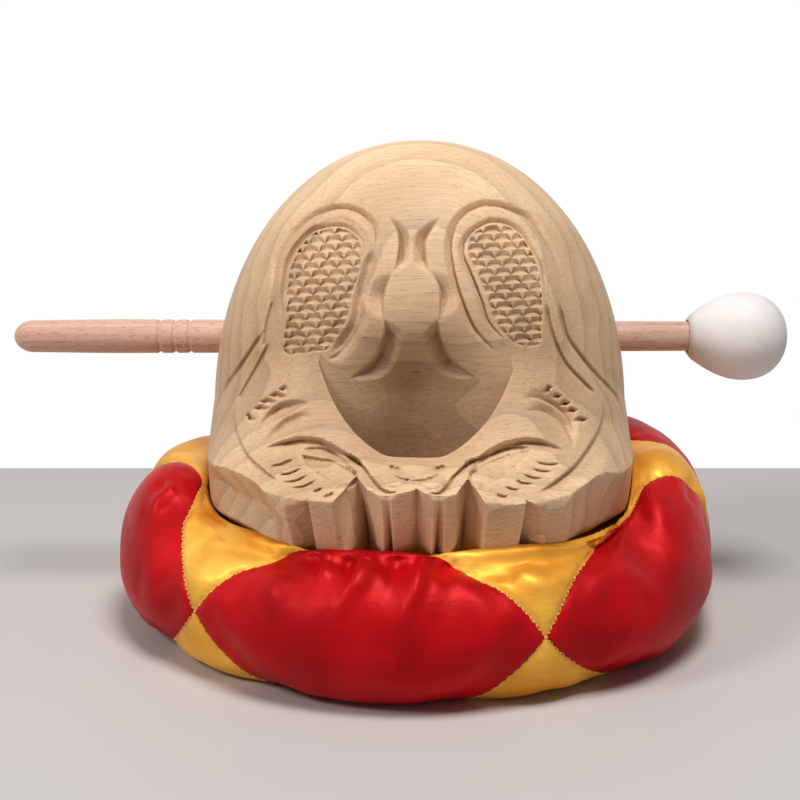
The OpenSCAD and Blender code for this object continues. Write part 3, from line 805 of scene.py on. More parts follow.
def cushion_net():
    """Faces of the net and the panel of each. A cell that a seam crosses is split along it."""
    m, n = net_level.shape
    here = np.arange(m * n).reshape(m, n)
    after = np.roll(here, -1, axis=1)
    cells = np.stack([here[:-1], after[:-1], after[1:], here[1:]], axis=-1).reshape(-1, 4)
    turn = np.stack([net_turn[:-1] + s / PANEL_CELLS for s in (0, 1, 1, 0)], axis=-1).reshape(-1, 4)
    level = np.stack([net_level[s:m - 1 + s] for s in (0, 0, 1, 1)], axis=-1).reshape(-1, 4)
    round_way, up_way = from_corner(turn, level)
    seam = np.abs(round_way - up_way) < 1e-6
    faces, middles = [], []
    for cell, t, u, on in zip(cells, turn, level, seam):
        shapes = [[0, 1, 2], [0, 2, 3]] if on[0] and on[2] else [[0, 1, 3], [1, 2, 3]] if on[1] and on[3] \
            else [[0, 1, 2, 3]]
        for shape in shapes:
            faces.append(cell[shape].tolist())
            middles.append((t[shape].mean(), u[shape].mean()))
    for j in range(n):
        faces.append([m * n, after[0, j], here[0, j]])
        faces.append([m * n + 1, here[-1, j], after[-1, j]])
        middles += [(turns[j] + 0.5 / PANEL_CELLS, 0), (turns[j] + 0.5 / PANEL_CELLS, MIDDLE_LEVEL)]
    t, u = np.array(middles).T
    return faces, panel_of(t, u)


cushion_faces, face_panel = cushion_net()
skin_points = np.concatenate([skin.reshape(-1, 3), [[0, 0, 0], [0, 0, BASE_Z - DISH_GAP]]])
print("cushion net:", len(skin_points), "points,", len(cushion_faces), "faces")

# %% [markdown]
# ## Filling the cushion
# A real cushion gets its creases from its filling: the cloth between the seams is a
# little too large, so it swells and puckers where it is held. The cloth simulation does
# the same. The seams, the underside on the table and the hollow under the fish are held,
# the filling pushes outwards, and no point may move further than the cap allows.

# %% Swell the cloth between the seams
SWELL_CAP = 6.0
SWELL_FRAMES = 20
round_way, up_way = from_corner(net_turn, net_level)
held = (np.abs(round_way - up_way) < 1e-6) | (place_level <= FLOOR_LEVEL) | (place_level > LIP_LEVEL - 0.6)


def filled(points):
    """The cushion's points after the cloth has swollen under pressure."""
    cushion = make_piece("cushion_cloth", points, cushion_faces)
    pins = cushion.vertex_groups.new(name="held")
    pins.add(np.flatnonzero(held).tolist() + [len(points) - 2, len(points) - 1], 1.0, "REPLACE")
    cloth = cushion.modifiers.new("filling", "CLOTH")
    cloth.settings.vertex_group_mass = "held"
    cloth.settings.use_pressure = True
    cloth.settings.uniform_pressure_force = 4
    cloth.settings.effector_weights.gravity = 0
    cloth.settings.shrink_min = -0.025
    cloth.settings.bending_stiffness = 0.05
    cloth.collision_settings.use_collision = False
    cloth.point_cache.frame_start, cloth.point_cache.frame_end = 1, SWELL_FRAMES
    for frame_number in range(1, SWELL_FRAMES + 1):
        bpy.context.scene.frame_set(frame_number)
    done = cushion.evaluated_get(bpy.context.evaluated_depsgraph_get()).data
    moved = np.empty(len(points) * 3)
    done.vertices.foreach_get("co", moved)
    bpy.context.scene.frame_set(1)
    bpy.data.objects.remove(cushion)
    return moved.reshape(-1, 3) / MM


move = filled(skin_points) - skin_points
far = np.linalg.norm(move, axis=1)
cap = SWELL_CAP * np.append(smooth((LIP_LEVEL - 0.8 - place_level) / 3).ravel(), [0, 0])
print("cloth moved up to", round(float(far.max()), 2), "mm before the cap")
move *= (np.minimum(far, cap) / np.maximum(far, 1e-9))[:, None]
skin_points = skin_points + move
skin_points[:, 2] = np.maximum(skin_points[:, 2], 0)

# %% [markdown]
# ## Panels, seams and folds
# The filled skin is refined, and the seams draw it in: a groove along each seam, and
# small puckers beside it where the thread gathers the satin. The few long folds that run
# up to the fish are ridges that follow lines on the same template as the carving. Then
# the skin is cut along the seams into its panels, each a closed layer of lined satin.

# %% Refine the skin
def refined(points, faces, owners, steps):
    """The skin after some steps of subdivision: points, faces and the panel of each face."""
    piece = make_piece("skin", points, faces)
    for _ in range(PANEL_COUNT * 3):
        piece.data.materials.append(None)
    piece.data.polygons.foreach_set("material_index", owners)
    finer = piece.modifiers.new("finer", "SUBSURF")
    finer.levels = steps
    mesh = settled(piece)
    bpy.data.objects.remove(piece)
    co = np.empty(len(mesh.vertices) * 3)
    mesh.vertices.foreach_get("co", co)
    corners = np.empty(len(mesh.loops), dtype=int)
    mesh.loops.foreach_get("vertex_index", corners)
    panel = np.empty(len(mesh.polygons), dtype=int)
    mesh.polygons.foreach_get("material_index", panel)
    normals = np.empty(len(mesh.vertices) * 3)
    mesh.vertices.foreach_get("normal", normals)
    return co.reshape(-1, 3) / MM, normals.reshape(-1, 3), corners.reshape(-1, 4), panel


fine_points, fine_out, fine_faces, fine_panel = refined(skin_points, cushion_faces, face_panel,
                                                       2)
owner_low = np.full(len(fine_points), 99)
owner_high = np.full(len(fine_points), -1)
for k in range(4):
    np.minimum.at(owner_low, fine_faces[:, k], fine_panel)
    np.maximum.at(owner_high, fine_faces[:, k], fine_panel)
on_seam = owner_low != owner_high
print("refined skin:", len(fine_points), "points,", int(on_seam.sum()), "of them on seams")

# %% Draw in the seams
SEAM_DIP, SEAM_W = 0.6, 1.1
PUCKER, PUCKER_PITCH, PUCKER_REACH = 0.2, 3.6, 7.0
seam_points = fine_points[on_seam]
tree = KDTree(len(seam_points))
for i, point in enumerate(seam_points):
    tree.insert(point, i)
tree.balance()
nearest = [tree.find(point) for point in fine_points]
seam_gap = np.array([gap for _, _, gap in nearest])
seam_at = seam_points[[i for _, i, _ in nearest]]
MM_PER_DEGREE = 1.83
run = radius_of(seam_at) + seam_at[:, 2] + MM_PER_DEGREE * bearing_of(seam_at)
puckers = np.sin(run * 2 * math.pi / PUCKER_PITCH + 1.7 * np.sin(run / 9)) * (0.65 + 0.35 * np.sin(run / 5.3))
loose = smooth((fine_points[:, 2] - 3) / 8)
dip = SEAM_DIP * np.exp(-(seam_gap / SEAM_W) ** 2)
wave = PUCKER * puckers * smooth(1 - seam_gap / PUCKER_REACH) * smooth(seam_gap / 1.2)
fine_points = fine_points + fine_out * ((wave - dip) * loose)[:, None]

# %% Lay the long folds with the carver's tools
across, up, away = template(fine_points)
to_eye = eye - fine_points
towards = (fine_out * to_eye).sum(axis=1) / np.linalg.norm(to_eye, axis=1)
clear = radius_of(fine_points) > seat_r(bearing_of(fine_points), LIP_Z) + 2
cloth_seen = np.flatnonzero((towards > 0.05) & clear)
X, Z = across[cloth_seen], up[cloth_seen]
relief = np.zeros(len(cloth_seen))
FOLD_ENDS = (0.15, 0.6)
RIDGES = [
    ([(-17, 21), (-22, 12), (-27.1, 3.3), (-29.6, -4.6)], 7, 2.6),
    ([(-32.9, 21), (-34.3, 14), (-36.3, 8)], 3.5, 1.6),
    ([(1.8, 22.1), (-0.4, 12.4), (-3.4, 1.5), (-5.1, -7.5)], 5, 2.5),
    ([(-50, 14), (-52, 6), (-51, -3)], 7, 1.2),
    ([(102.2, 48.9), (101.5, 43.1), (103.3, 36.6), (105.9, 31.5)], 4, 2.0),
    ([(-88.5, 45.6), (-92.8, 40.5), (-97, 33.3), (-99, 27.9)], 4.5, 2.0),
    ([(-84, 34), (-77, 27), (-69, 20)], 8, 1.8),
    ([(34, 14), (45, 9), (53, 13)], 6, 1.5), ([(80, 46), (86, 36), (88, 24)], 9, 1.5)]
VALLEYS = [
    ([(-38.4, 21.2), (-39.9, 14.9)], 2.5, 1.2), ([(-35.9, 20.5), (-37.2, 14.2), (-39.2, 7.7)], 2.5, 1.1),
    ([(-24.9, 20), (-26, 12.4), (-28.5, 5.5)], 4, 2.2), ([(-7, 21), (-9.5, 12), (-11, 3)], 5, 1.6),
    ([(-1.1, 20.5), (-2.7, 11.6)], 2.5, 1.5), ([(11, 21), (10, 12), (12, 4)], 5, 1.3),
    ([(99, 48.1), (98.5, 42.4), (101.2, 35.1)], 3.5, 1.9), ([(-91.8, 45.6), (-95.7, 40.2)], 3.5, 1.3),
    ([(-80, 42), (-72, 33), (-64, 25)], 7, 1.6), ([(60, 22), (72, 30), (84, 28)], 8, 1.8)]
for line, wide, high in RIDGES:
    gouge(line, wide, high, FOLD_ENDS, flip=-1)
for line, wide, deep in VALLEYS:
    gouge(line, wide, deep, FOLD_ENDS)
laid = relief * smooth((towards[cloth_seen] - 0.05) / 0.3)
fine_points[cloth_seen] += fine_out[cloth_seen] * laid[:, None]
fine_points[:, 2] = np.maximum(fine_points[:, 2], 0)


# %% Cut the skin along its seams into lined panels
def closed_layer(name, points, out, faces, thick):
    """A closed sheet: the outer faces, the same faces a thickness further in, and the rim."""
    used, local = np.unique(faces, return_inverse=True)
    local = local.reshape(-1, 4)
    count = len(used)
    edges = np.stack([local, np.roll(local, -1, axis=1)], axis=-1).reshape(-1, 2)
    single = ~np.isin(edges[:, 0] * count + edges[:, 1], edges[:, 1] * count + edges[:, 0])
    rim = edges[single]
    walls = np.stack([rim[:, 1], rim[:, 0], rim[:, 0] + count, rim[:, 1] + count], axis=-1)
    layers = np.concatenate([points[used], points[used] - out[used] * thick])
    piece = make_piece(name, layers, np.concatenate([local, local[:, ::-1] + count, walls]).tolist())
    shade_softly(piece, 60)
    return piece


PANEL_KINDS = [("red_panel", "red_diamond", "red_satin"), ("gold_top_panel", "gold_top", "gold_satin"),
               ("gold_base_panel", "gold_base", "gold_satin")]
panels = {"red_satin": [], "gold_satin": []}
for kind, (node, title, slot) in enumerate(PANEL_KINDS):
    for i in range(PANEL_COUNT):
        own = fine_faces[fine_panel == kind * PANEL_COUNT + i]
        panel = closed_layer(f"{title}_{i + 1}", fine_points, fine_out, own, CLOTH_T)
        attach(panel, "cushion")
        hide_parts(f"{node}_{i + 1}")
        panels[slot].append(panel)
print("panels:", sum(len(group) for group in panels.values()),
      "faces in all:", sum(len(p.data.polygons) for group in panels.values() for p in group))

# %% [markdown]
# ## The stitches
# A gold thread shows along every seam as small slanting stitches. They repeat along a path,
# so Geometry Nodes set them: the seam edges become curves, a point falls on them at each
# pitch, and one small bead of thread is placed there, turned along the seam and out of it.

# %% Find the seam edges
def seam_edges():
    """Edges of the fine skin whose two faces belong to different panels, where they can be seen."""
    pairs = np.stack([fine_faces, np.roll(fine_faces, -1, axis=1)], axis=-1).reshape(-1, 2)
    pairs.sort(axis=1)
    owners = np.repeat(fine_panel, 4)
    order = np.lexsort((pairs[:, 1], pairs[:, 0]))
    pairs, owners = pairs[order], owners[order]
    same = (pairs[:-1] == pairs[1:]).all(axis=1) & (owners[:-1] != owners[1:])
    edges = pairs[:-1][same]
    open_place = radius_of(fine_points) > seat_r(bearing_of(fine_points), RIM_Z) + 1.5
    shown = open_place & (fine_points[:, 2] > 1.5)
    return edges[shown[edges].all(axis=1)]


def seam_line():
    """A mesh of the seam edges alone, just outside the cloth, that remembers which way is out."""
    edges = seam_edges()
    used, local = np.unique(edges, return_inverse=True)
    line = bpy.data.meshes.new("seam_line")
    places = (fine_points[used] + fine_out[used] * THREAD_OUT) * MM
    line.from_pydata(places.tolist(), local.reshape(-1, 2).tolist(), [])
    line.attributes.new("out", "FLOAT_VECTOR", "POINT").data.foreach_set("vector", fine_out[used].ravel())
    piece = bpy.data.objects.new("seam_stitches", line)
    bpy.context.scene.collection.objects.link(piece)
    return piece


THREAD_OUT = 0.05

# %% One function that adds a node
def linear(code):
    """An sRGB hex colour as the linear values that a shader reads."""
    parts = [int(code[i:i + 2], 16) / 255 for i in (0, 2, 4)]
    return [c / 12.92 if c <= 0.04045 else ((c + 0.055) / 1.055) ** 2.4 for c in parts] + [1.0]


def add(tree, kind, inputs=None, stops=(), **settings):
    """Adds a node. Each input is linked to a socket or set to a value, and a ramp gets its stops."""
    node = tree.nodes.new(kind)
    for setting, value in settings.items():
        setattr(node, setting, value)
    for socket, given in (inputs or {}).items():
        if isinstance(given, bpy.types.NodeSocket):
            tree.links.new(given, node.inputs[socket])
        else:
            node.inputs[socket].default_value = given
    for i, (place, code) in enumerate(stops):
        element = node.color_ramp.elements[i] if i < 2 else node.color_ramp.elements.new(place)
        element.position = place
        element.color = linear(code)
    return node


# %% The stitching tree and its sizes
STITCH_SIZES = [("Pitch", 1.6 * MM), ("Length", 1.8 * MM), ("Thickness", 0.6 * MM),
                ("Lean", math.radians(32))]
thread = bpy.data.materials.new("spun_gold_thread")
stitching = bpy.data.node_groups.new("stitching", "GeometryNodeTree")
sockets = stitching.interface
sockets.new_socket("Seams", in_out="INPUT", socket_type="NodeSocketGeometry")
for title, value in STITCH_SIZES:
    sockets.new_socket(title, in_out="INPUT", socket_type="NodeSocketFloat").default_value = value
sockets.new_socket("Stitches", in_out="OUTPUT", socket_type="NodeSocketGeometry")
sizes = add(stitching, "NodeGroupInput").outputs

# %% A point at each pitch along the seams, and one bead of thread
curves = add(stitching, "GeometryNodeMeshToCurve", {"Mesh": sizes["Seams"]})
spots = add(stitching, "GeometryNodeResampleCurve", {"Curve": curves.outputs[0], "Length": sizes["Pitch"]},
            mode="LENGTH")
bead = add(stitching, "GeometryNodeMeshUVSphere", {"Segments": 6, "Rings": 4, "Radius": 0.5})
thick = sizes["Thickness"]
bead_size = add(stitching, "ShaderNodeCombineXYZ", {"X": sizes["Length"], "Y": thick, "Z": thick})

# %% Turn each bead along its seam and out of the cloth, leaning to one side and the other
tangent = add(stitching, "GeometryNodeInputTangent").outputs[0]
along_seam = add(stitching, "FunctionNodeAlignRotationToVector", {"Vector": tangent}, axis="X")
out_of_cloth = add(stitching, "GeometryNodeInputNamedAttribute", {"Name": "out"}, data_type="FLOAT_VECTOR")
upright = add(stitching, "FunctionNodeAlignRotationToVector",
              {"Rotation": along_seam.outputs[0], "Vector": out_of_cloth.outputs["Attribute"]},
              axis="Z", pivot_axis="X")
count = add(stitching, "GeometryNodeInputIndex").outputs[0]
odd = add(stitching, "ShaderNodeMath", {0: count, 1: 2.0}, operation="MODULO")
swing = add(stitching, "ShaderNodeMath", {0: odd.outputs[0], 1: 2.0, 2: -1.0}, operation="MULTIPLY_ADD")
angle = add(stitching, "ShaderNodeMath", {0: swing.outputs[0], 1: sizes["Lean"]}, operation="MULTIPLY")
swung = add(stitching, "ShaderNodeCombineXYZ", {"Z": angle.outputs[0]})
turn = add(stitching, "FunctionNodeEulerToRotation", {"Euler": swung.outputs[0]})
slanted = add(stitching, "FunctionNodeRotateRotation",
              {"Rotation": upright.outputs[0], "Rotate By": turn.outputs[0]}, rotation_space="LOCAL")

# %% Place the beads
placed = add(stitching, "GeometryNodeInstanceOnPoints",
             {"Points": spots.outputs[0], "Instance": bead.outputs["Mesh"],
              "Rotation": slanted.outputs[0], "Scale": bead_size.outputs[0]})
real = add(stitching, "GeometryNodeRealizeInstances", {"Geometry": placed.outputs[0]})
named = add(stitching, "GeometryNodeSetMaterial", {"Geometry": real.outputs[0], "Material": thread})
add(stitching, "NodeGroupOutput", {"Stitches": named.outputs[0]})
print("stitching tree:", len(stitching.nodes), "nodes")

# %% Sew them
stitches = seam_line()
sewing = stitches.modifiers.new("sewing", "NODES")
sewing.node_group = stitching
for socket in sockets.items_tree:
    if socket.in_out == "INPUT" and socket.socket_type == "NodeSocketFloat":
        sewing[socket.identifier] = socket.default_value
sewn = settled(stitches)
stitches.modifiers.remove(sewing)
stitches.data = sewn
sewn.materials.clear()
sewn.materials.append(thread)
sewn.polygons.foreach_set("material_index", np.zeros(len(sewn.polygons), dtype=int))
shade_softly(stitches)
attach(stitches, "cushion")
print("stitches:", len(sewn.polygons) // 24)

# %% [markdown]
# ## The filling
# Loose cotton fills the cushion. It is never seen, but it holds the place of the packed
# stuffing. It is the same skin again, moved in along its normals. Where the skin is
# folded that isn't deep enough, so each point is pushed further from the skin that is
# nearest to it, a few times over, until it lies under the panels everywhere.

# %% The fibre filling inside the panels
CORE_DEEP, CORE_ROUNDS = 3.3, 8
core_points, core_out, core_faces, _ = refined(skin_points, cushion_faces, face_panel, 1)
skin_tree = BVHTree.FromPolygons([Vector(point) for point in core_points], core_faces.tolist())
core_points = core_points - core_out * (CLOTH_T + CORE_DEEP)
for _ in range(CORE_ROUNDS):
    for i, point in enumerate(core_points):
        near, out, _, _ = skin_tree.find_nearest(Vector(point))
        depth = (near - Vector(point)).dot(out)
        if depth < CORE_DEEP:
            core_points[i] = Vector(point) - out * (CORE_DEEP - depth)
filling = make_piece("fibre_filling", core_points, core_faces.tolist())
print("filling:", len(core_points), "points, at least", CORE_DEEP, "mm under the skin's outside")
shade_softly(filling)
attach(filling, "cushion")
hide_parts("stuffing")

# %% [markdown]
# ## The striker
# The stick is turned beech with a slightly fuller grip and three ring grooves, and its
# moulded rubber head has a blind socket that holds the tip. Both are turned again here
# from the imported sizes, with finer steps, soft groove edges and a small lip at the socket.

# %% Turn the stick and its head
low_stick, high_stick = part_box("striker_stick")
low_head, high_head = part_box("striker_head")
STICK_LEN = (high_stick.x - low_stick.x) / MM
axis_y, axis_z = (low_stick.y + high_stick.y) / 2 / MM, (low_stick.z + high_stick.z) / 2 / MM
HEAD_LEN = (high_head.x - low_head.x) / MM
HEAD_R = (high_head.z - low_head.z) / 2 / MM
GRIP_R, TIP_R, NECK_R = 6.2, 5.4, 7.0
BARREL_FROM, SOCKET_DEEP, SOCKET_GAP = 40.0, 22.0, 0.15
RINGS_AT = [53.5, 59.0, 64.5]
WIDEST = 0.56


def stick_r(d):
    """The stick's radius at a distance from its grip end."""
    grip = mix(GRIP_R - 0.4, GRIP_R, smooth(d / BARREL_FROM))
    barrel = mix(GRIP_R, TIP_R, clamp01((d - BARREL_FROM) / (STICK_LEN - SOCKET_DEEP - BARREL_FROM)))
    rings = sum(0.6 * bump((d - at) / 1.1) for at in RINGS_AT)
    cap = np.sqrt(clamp01(1 - clamp01(1 - d / 7) ** 2))
    return np.where(d < BARREL_FROM, grip, barrel) * np.maximum(cap, 0.02) - rings


def head_shape(t):
    """The rubber head's radius from its neck to its round end. It is widest past its middle."""
    neck = mix(NECK_R, HEAD_R, np.sin(np.radians(90 * clamp01(t / WIDEST))) ** 0.9)
    end = HEAD_R * clamp01(1 - clamp01((t - WIDEST) / (1 - WIDEST)) ** 2.2) ** (1 / 2.2)
    return np.where(t < WIDEST, neck, end)


stick_runs = np.concatenate([7 * (1 - np.cos(np.linspace(0, math.pi / 2, 10))), np.arange(8, 50, 2),
                             np.arange(50, 69, 0.25), np.arange(69, STICK_LEN, 3), [STICK_LEN]])
stick_shape = [(float(stick_r(d)), d) for d in stick_runs]
stick = make_piece("turned_stick", *turned(stick_shape, [low_stick.x / MM, axis_y, axis_z]))
socket_r = TIP_R + SOCKET_GAP
bore = [(socket_r, SOCKET_DEEP + SOCKET_GAP), (socket_r, SOCKET_DEEP / 2), (socket_r, 0.5),
        (socket_r + 0.4, 0)]
head_steps = np.sin(np.linspace(0.04, math.pi / 2 - 0.01, 60))
skin_of_head = [(NECK_R - 0.6, 0.0)] + [(float(head_shape(t)), t * HEAD_LEN) for t in head_steps]
ball = make_piece("rubber_ball", *turned(bore + skin_of_head, [low_head.x / MM, axis_y, axis_z], 128))
for piece, node, slot in [(stick, "striker_stick", "beech_wood"), (ball, "striker_head", "white_rubber")]:
    outward_faces(piece)
    shade_softly(piece, 50)
    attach(piece, "striker")
    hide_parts(node)
print("stick", round(STICK_LEN, 1), "mm long, head", round(HEAD_LEN, 1), "mm long")

# %% [markdown]
# ## Materials
# Each finish is worked out from the object's own coordinates in millimetres, so that grain
# and weave keep their real size. Real threads and pores are finer than a pixel of this
# picture, so they are drawn some times coarser, as fine as they can still be seen. Most
# of the looks come from layers: a cloudy pattern, its colours, and how far they tint.

# %% Small tools for materials
def finish(name, rough, **settings):
    """A new material, its node tree and its Principled shader with some sockets set."""
    material = bpy.data.materials.new(name)
    material.use_nodes = True
    shader = material.node_tree.nodes["Principled BSDF"]
    shader.inputs["Roughness"].default_value = rough
    for socket, value in settings.items():
        shader.inputs[socket.replace("_", " ")].default_value = value
    return material, material.node_tree, shader


def pattern(tree, cell, detail, rough=0.5):
    """A cloudy pattern on the object's own coordinates, whose cells have a size in millimetres."""
    place = add(tree, "ShaderNodeTexCoord").outputs["Object"]
    scale = [1 / (size * MM) for size in cell]
    cells = add(tree, "ShaderNodeMapping", {"Vector": place, "Scale": scale}).outputs["Vector"]
    values = {"Vector": cells, "Scale": 1.0, "Detail": detail, "Roughness": rough}
    return add(tree, "ShaderNodeTexNoise", values).outputs["Fac"]


def tinted(tree, factor, stops, under=None, share=1.0):
    """The colours of a pattern, multiplied into a tone that lies under it if there is one."""
    tone = add(tree, "ShaderNodeValToRGB", {"Fac": factor}, stops).outputs["Color"]
    if under is None:
        return tone
    values = {0: share, 6: under, 7: tone}
    return add(tree, "ShaderNodeMix", values, data_type="RGBA", blend_type="MULTIPLY").outputs[2]


# %% Camphor wood, carved with gouges and fine sanded: pale, with rings as contour lines
wood, tree, shader = finish("carved_camphor_wood", 0.5, Specular_IOR_Level=0.2)
drum.data.materials.append(wood)
own_place = add(tree, "ShaderNodeTexCoord").outputs["Object"]
# The pith runs along X, behind and above the block, and it sways by up to 45 mm.
from_pith = add(tree, "ShaderNodeMapping", {"Vector": own_place, "Location": (0, -0.15, -0.08)})
sway = add(tree, "ShaderNodeVectorMath", {0: pattern(tree, (160, 45, 45), 2.0), 1: (0, 0.045, 0.045)},
           operation="MULTIPLY")
swayed = add(tree, "ShaderNodeVectorMath", {0: from_pith.outputs[0], 1: sway.outputs[0]}, operation="ADD")
rings = add(tree, "ShaderNodeTexWave",
            {"Vector": swayed.outputs[0], "Scale": 38.0, "Distortion": 1.2, "Detail": 3.0,
             "Detail Scale": 1.5, "Detail Roughness": 0.6},
            wave_type="RINGS", rings_direction="X", wave_profile="SAW")

# %% The wood's colour, from its broad tone to its pores, with painted shade in its cuts, paler painted edges and painted shade in its recess
fibres = pattern(tree, (28, 0.9, 0.9), 5.0, 0.65)
pores = pattern(tree, (5, 0.45, 0.45), 2.0)
# Painted shade and highlight: from their pointiness, the cuts are darkened and the carved edges made paler.
edges = add(tree, "ShaderNodeNewGeometry").outputs["Pointiness"]
tone = tinted(tree, pattern(tree, (70, 30, 30), 3.0), [(0.3, "D9BF9A"), (0.7, "F2E0C2")])
for factor, stops, share in [
        (rings.outputs["Fac"], [(0.0, "EAD3AE"), (1.0, "B79A6C"), (0.55, "E2C79D"), (0.9, "C6A878")], 0.55),
        (fibres, [(0.3, "C4A67C"), (0.7, "FFF6E6")], 0.45),
        (pores, [(0.3, "6E5030"), (0.4, "FFFFFF")], 0.35),
        # Painted shade in the cuts and painted highlight on the edges.
        (edges, [(0.42, "8A6A45"), (0.58, "FFF3DC"), (0.5, "E6D2B0")], 0.45)]:
    tone = tinted(tree, factor, stops, tone, share)
# Painted shade: the wood is darker and duller towards a point inside the block, so that the deep recess and
# the hollow look shaded.
from_shade_middle = add(tree, "ShaderNodeVectorMath", {0: own_place, 1: (0, 0.01, 0.075)}, operation="DISTANCE")
painted_recess_shade = add(tree, "ShaderNodeMapRange",
            {"Value": from_shade_middle.outputs["Value"], "From Min": 0.05, "From Max": 0.09})
tone = tinted(tree, painted_recess_shade.outputs["Result"], [(0.0, "9E7C50"), (1.0, "FFFFFF")], tone, 0.9)
aired = add(tree, "ShaderNodeHueSaturation", {"Color": tone, "Value": 1.36, "Saturation": 0.84})
tree.links.new(aired.outputs["Color"], shader.inputs["Base Color"])

# %% The wood's surface: raised fibres and open pores, a little glossier between them
grain = add(tree, "ShaderNodeBump", {"Height": fibres, "Strength": 0.25, "Distance": 0.0003})
open_pores = add(tree, "ShaderNodeBump",
                 {"Height": pores, "Normal": grain.outputs[0], "Strength": 0.2, "Distance": 0.0002})
tree.links.new(open_pores.outputs[0], shader.inputs["Normal"])
rough = add(tree, "ShaderNodeMapRange", {"Value": fibres, "To Min": 0.42, "To Max": 0.6})
tree.links.new(rough.outputs["Result"], shader.inputs["Roughness"])


# %% Satin, woven with long floats and lined: deep colour, and broad soft highlights
def satin(name, metallic, deep, lit, sheen):
    """Satin of one colour. Its rib is ten times coarser than the real threads, so that it shows."""
    cloth, tree, shader = finish(name, 0.42, Metallic=metallic, Specular_IOR_Level=0.12, Sheen_Weight=0.01,
                                 Sheen_Roughness=0.35, Sheen_Tint=linear(sheen))
    slubs = pattern(tree, (14, 14, 1.2), 3.0)
    tone = tinted(tree, pattern(tree, (26, 26, 26), 2.0), [(0.3, deep), (0.7, lit)])
    tone = tinted(tree, slubs, [(0.35, "B0B0B0"), (0.65, "FFFFFF")], tone, 0.12)
    tree.links.new(tone, shader.inputs["Base Color"])
    rib = add(tree, "ShaderNodeBump",
              {"Height": pattern(tree, (2.2, 2.2, 0.3), 2.0), "Strength": 0.25, "Distance": 0.0001})
    creases = add(tree, "ShaderNodeBump", {"Height": pattern(tree, (9, 9, 7), 3.0), "Normal": rib.outputs[0],
                                           "Strength": 0.35, "Distance": 0.0012})
    tree.links.new(creases.outputs[0], shader.inputs["Normal"])
    rough = add(tree, "ShaderNodeMapRange", {"Value": slubs, "To Min": 0.38, "To Max": 0.52})
    tree.links.new(rough.outputs["Result"], shader.inputs["Roughness"])
    return cloth


satins = {"red_satin": satin("red_woven_satin", 0.2, "A00207", "CC0812", "FF4038"),
          "gold_satin": satin("gold_woven_satin", 0.38, "D88C24", "FFC452", "FFE9A0")}
for slot, group in panels.items():
    for panel in group:
        panel.data.materials.append(satins[slot])
print("satins:", ", ".join(satins))

# %% Spun gold thread: two shades of its twist
thread.use_nodes = True
tree, shader = thread.node_tree, thread.node_tree.nodes["Principled BSDF"]
tone = tinted(tree, pattern(tree, (0.9, 0.9, 0.9), 2.0), [(0.3, "D99A30"), (0.7, "F7D070")])
tree.links.new(tone, shader.inputs["Base Color"])
shader.inputs["Roughness"].default_value = 0.45

# %% Loose cotton filling: matte and uneven
cotton, tree, shader = finish("loose_cotton_filling", 0.95, Sheen_Weight=0.2)
tone = tinted(tree, pattern(tree, (6, 6, 6), 5.0), [(0.3, "DDD5C2"), (0.7, "F4EFE2")])
tree.links.new(tone, shader.inputs["Base Color"])
filling.data.materials.append(cotton)

# %% Beech, turned and fine sanded: pinkish, with the short dark flecks of its rays
beech, tree, shader = finish("turned_beech_wood", 0.5, Specular_IOR_Level=0.35)
flecks = pattern(tree, (3.2, 0.5, 0.5), 2.0)
tone = tinted(tree, pattern(tree, (60, 1.6, 1.6), 4.0), [(0.3, "CF9C86"), (0.7, "E6BFAC")])
tone = tinted(tree, flecks, [(0.33, "A86F58"), (0.45, "FFFFFF")], tone, 0.4)
tree.links.new(tone, shader.inputs["Base Color"])
rays = add(tree, "ShaderNodeBump", {"Height": flecks, "Strength": 0.3, "Distance": 0.0002})
tree.links.new(rays.outputs[0], shader.inputs["Normal"])
stick.data.materials.append(beech)

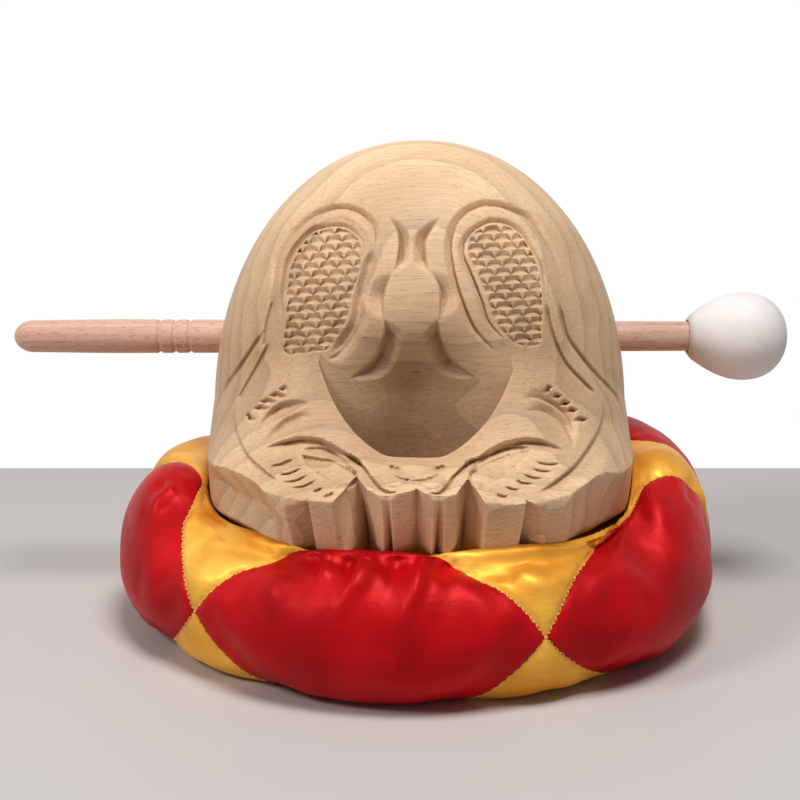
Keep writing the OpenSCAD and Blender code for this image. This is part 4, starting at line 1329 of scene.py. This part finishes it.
# %% White rubber, moulded: chalky, with a faint bloom and a fine grain
rubber, tree, shader = finish("moulded_white_rubber", 0.72, Specular_IOR_Level=0.18)
tone = tinted(tree, pattern(tree, (11, 11, 11), 4.0), [(0.3, "E9E1DD"), (0.7, "F4EEEC")])
tree.links.new(tone, shader.inputs["Base Color"])
skin_grain = add(tree, "ShaderNodeBump",
                 {"Height": pattern(tree, (0.8, 0.8, 0.8), 2.0), "Strength": 0.15, "Distance": 0.0002})
tree.links.new(skin_grain.outputs[0], shader.inputs["Normal"])
ball.data.materials.append(rubber)

# %% [markdown]
# ## The table, the background and the light
# The photograph was lit softly from the upper left, on a table whose far edge shows, before
# plain white. The table's boards are left out: a pale plain top takes their place. The
# white comes from the world, where the camera, a reflection or a clear piece would see it,
# and not from more light on the object.

# %% Table top
TABLE_BACK, TABLE_FAR = 185, 3000
corners = [[-TABLE_FAR, -TABLE_FAR, 0], [TABLE_FAR, -TABLE_FAR, 0], [TABLE_FAR, TABLE_BACK, 0],
           [-TABLE_FAR, TABLE_BACK, 0]]
table = make_piece("table_top", corners, [[0, 1, 2, 3]])
table.data.materials.append(finish("pale_table_top", 0.6, Base_Color=linear("C9C4C1"))[0])

# %% White background
world = bpy.data.worlds.new("studio")
bpy.context.scene.world = world
world.use_nodes = True
sky = world.node_tree
soft_light = sky.nodes["Background"]
soft_light.inputs["Color"].default_value = (1, 1, 1, 1)
soft_light.inputs["Strength"].default_value = 0.08
white = add(sky, "ShaderNodeBackground", {"Color": (1, 1, 1, 1)})
ray = add(sky, "ShaderNodeLightPath").outputs
seen_white = ray["Is Camera Ray"]
for kind in ("Is Transmission Ray", "Is Glossy Ray"):
    seen_white = add(sky, "ShaderNodeMath", {0: seen_white, 1: ray[kind]}, operation="MAXIMUM").outputs[0]
pick = add(sky, "ShaderNodeMixShader", {0: seen_white, 1: soft_light.outputs[0], 2: white.outputs[0]})
sky.links.new(pick.outputs[0], sky.nodes["World Output"].inputs["Surface"])


# %% Lamps
def lamp(name, place, size, watts):
    """A square soft lamp in metres, aimed at the middle of the carved front."""
    light = bpy.data.lights.new(name, "AREA")
    light.size = size
    light.energy = watts
    lamp_object = bpy.data.objects.new(name, light)
    lamp_object.location = place
    aim = Vector((0, 0, 0.08)) - Vector(place)
    lamp_object.rotation_euler = aim.to_track_quat("-Z", "Y").to_euler()
    bpy.context.scene.collection.objects.link(lamp_object)


lamp("key_light", (-0.9, -0.5, 0.85), 0.3, 5.5)
lamp("top_light", (0.1, -0.3, 1.0), 0.35, 8)
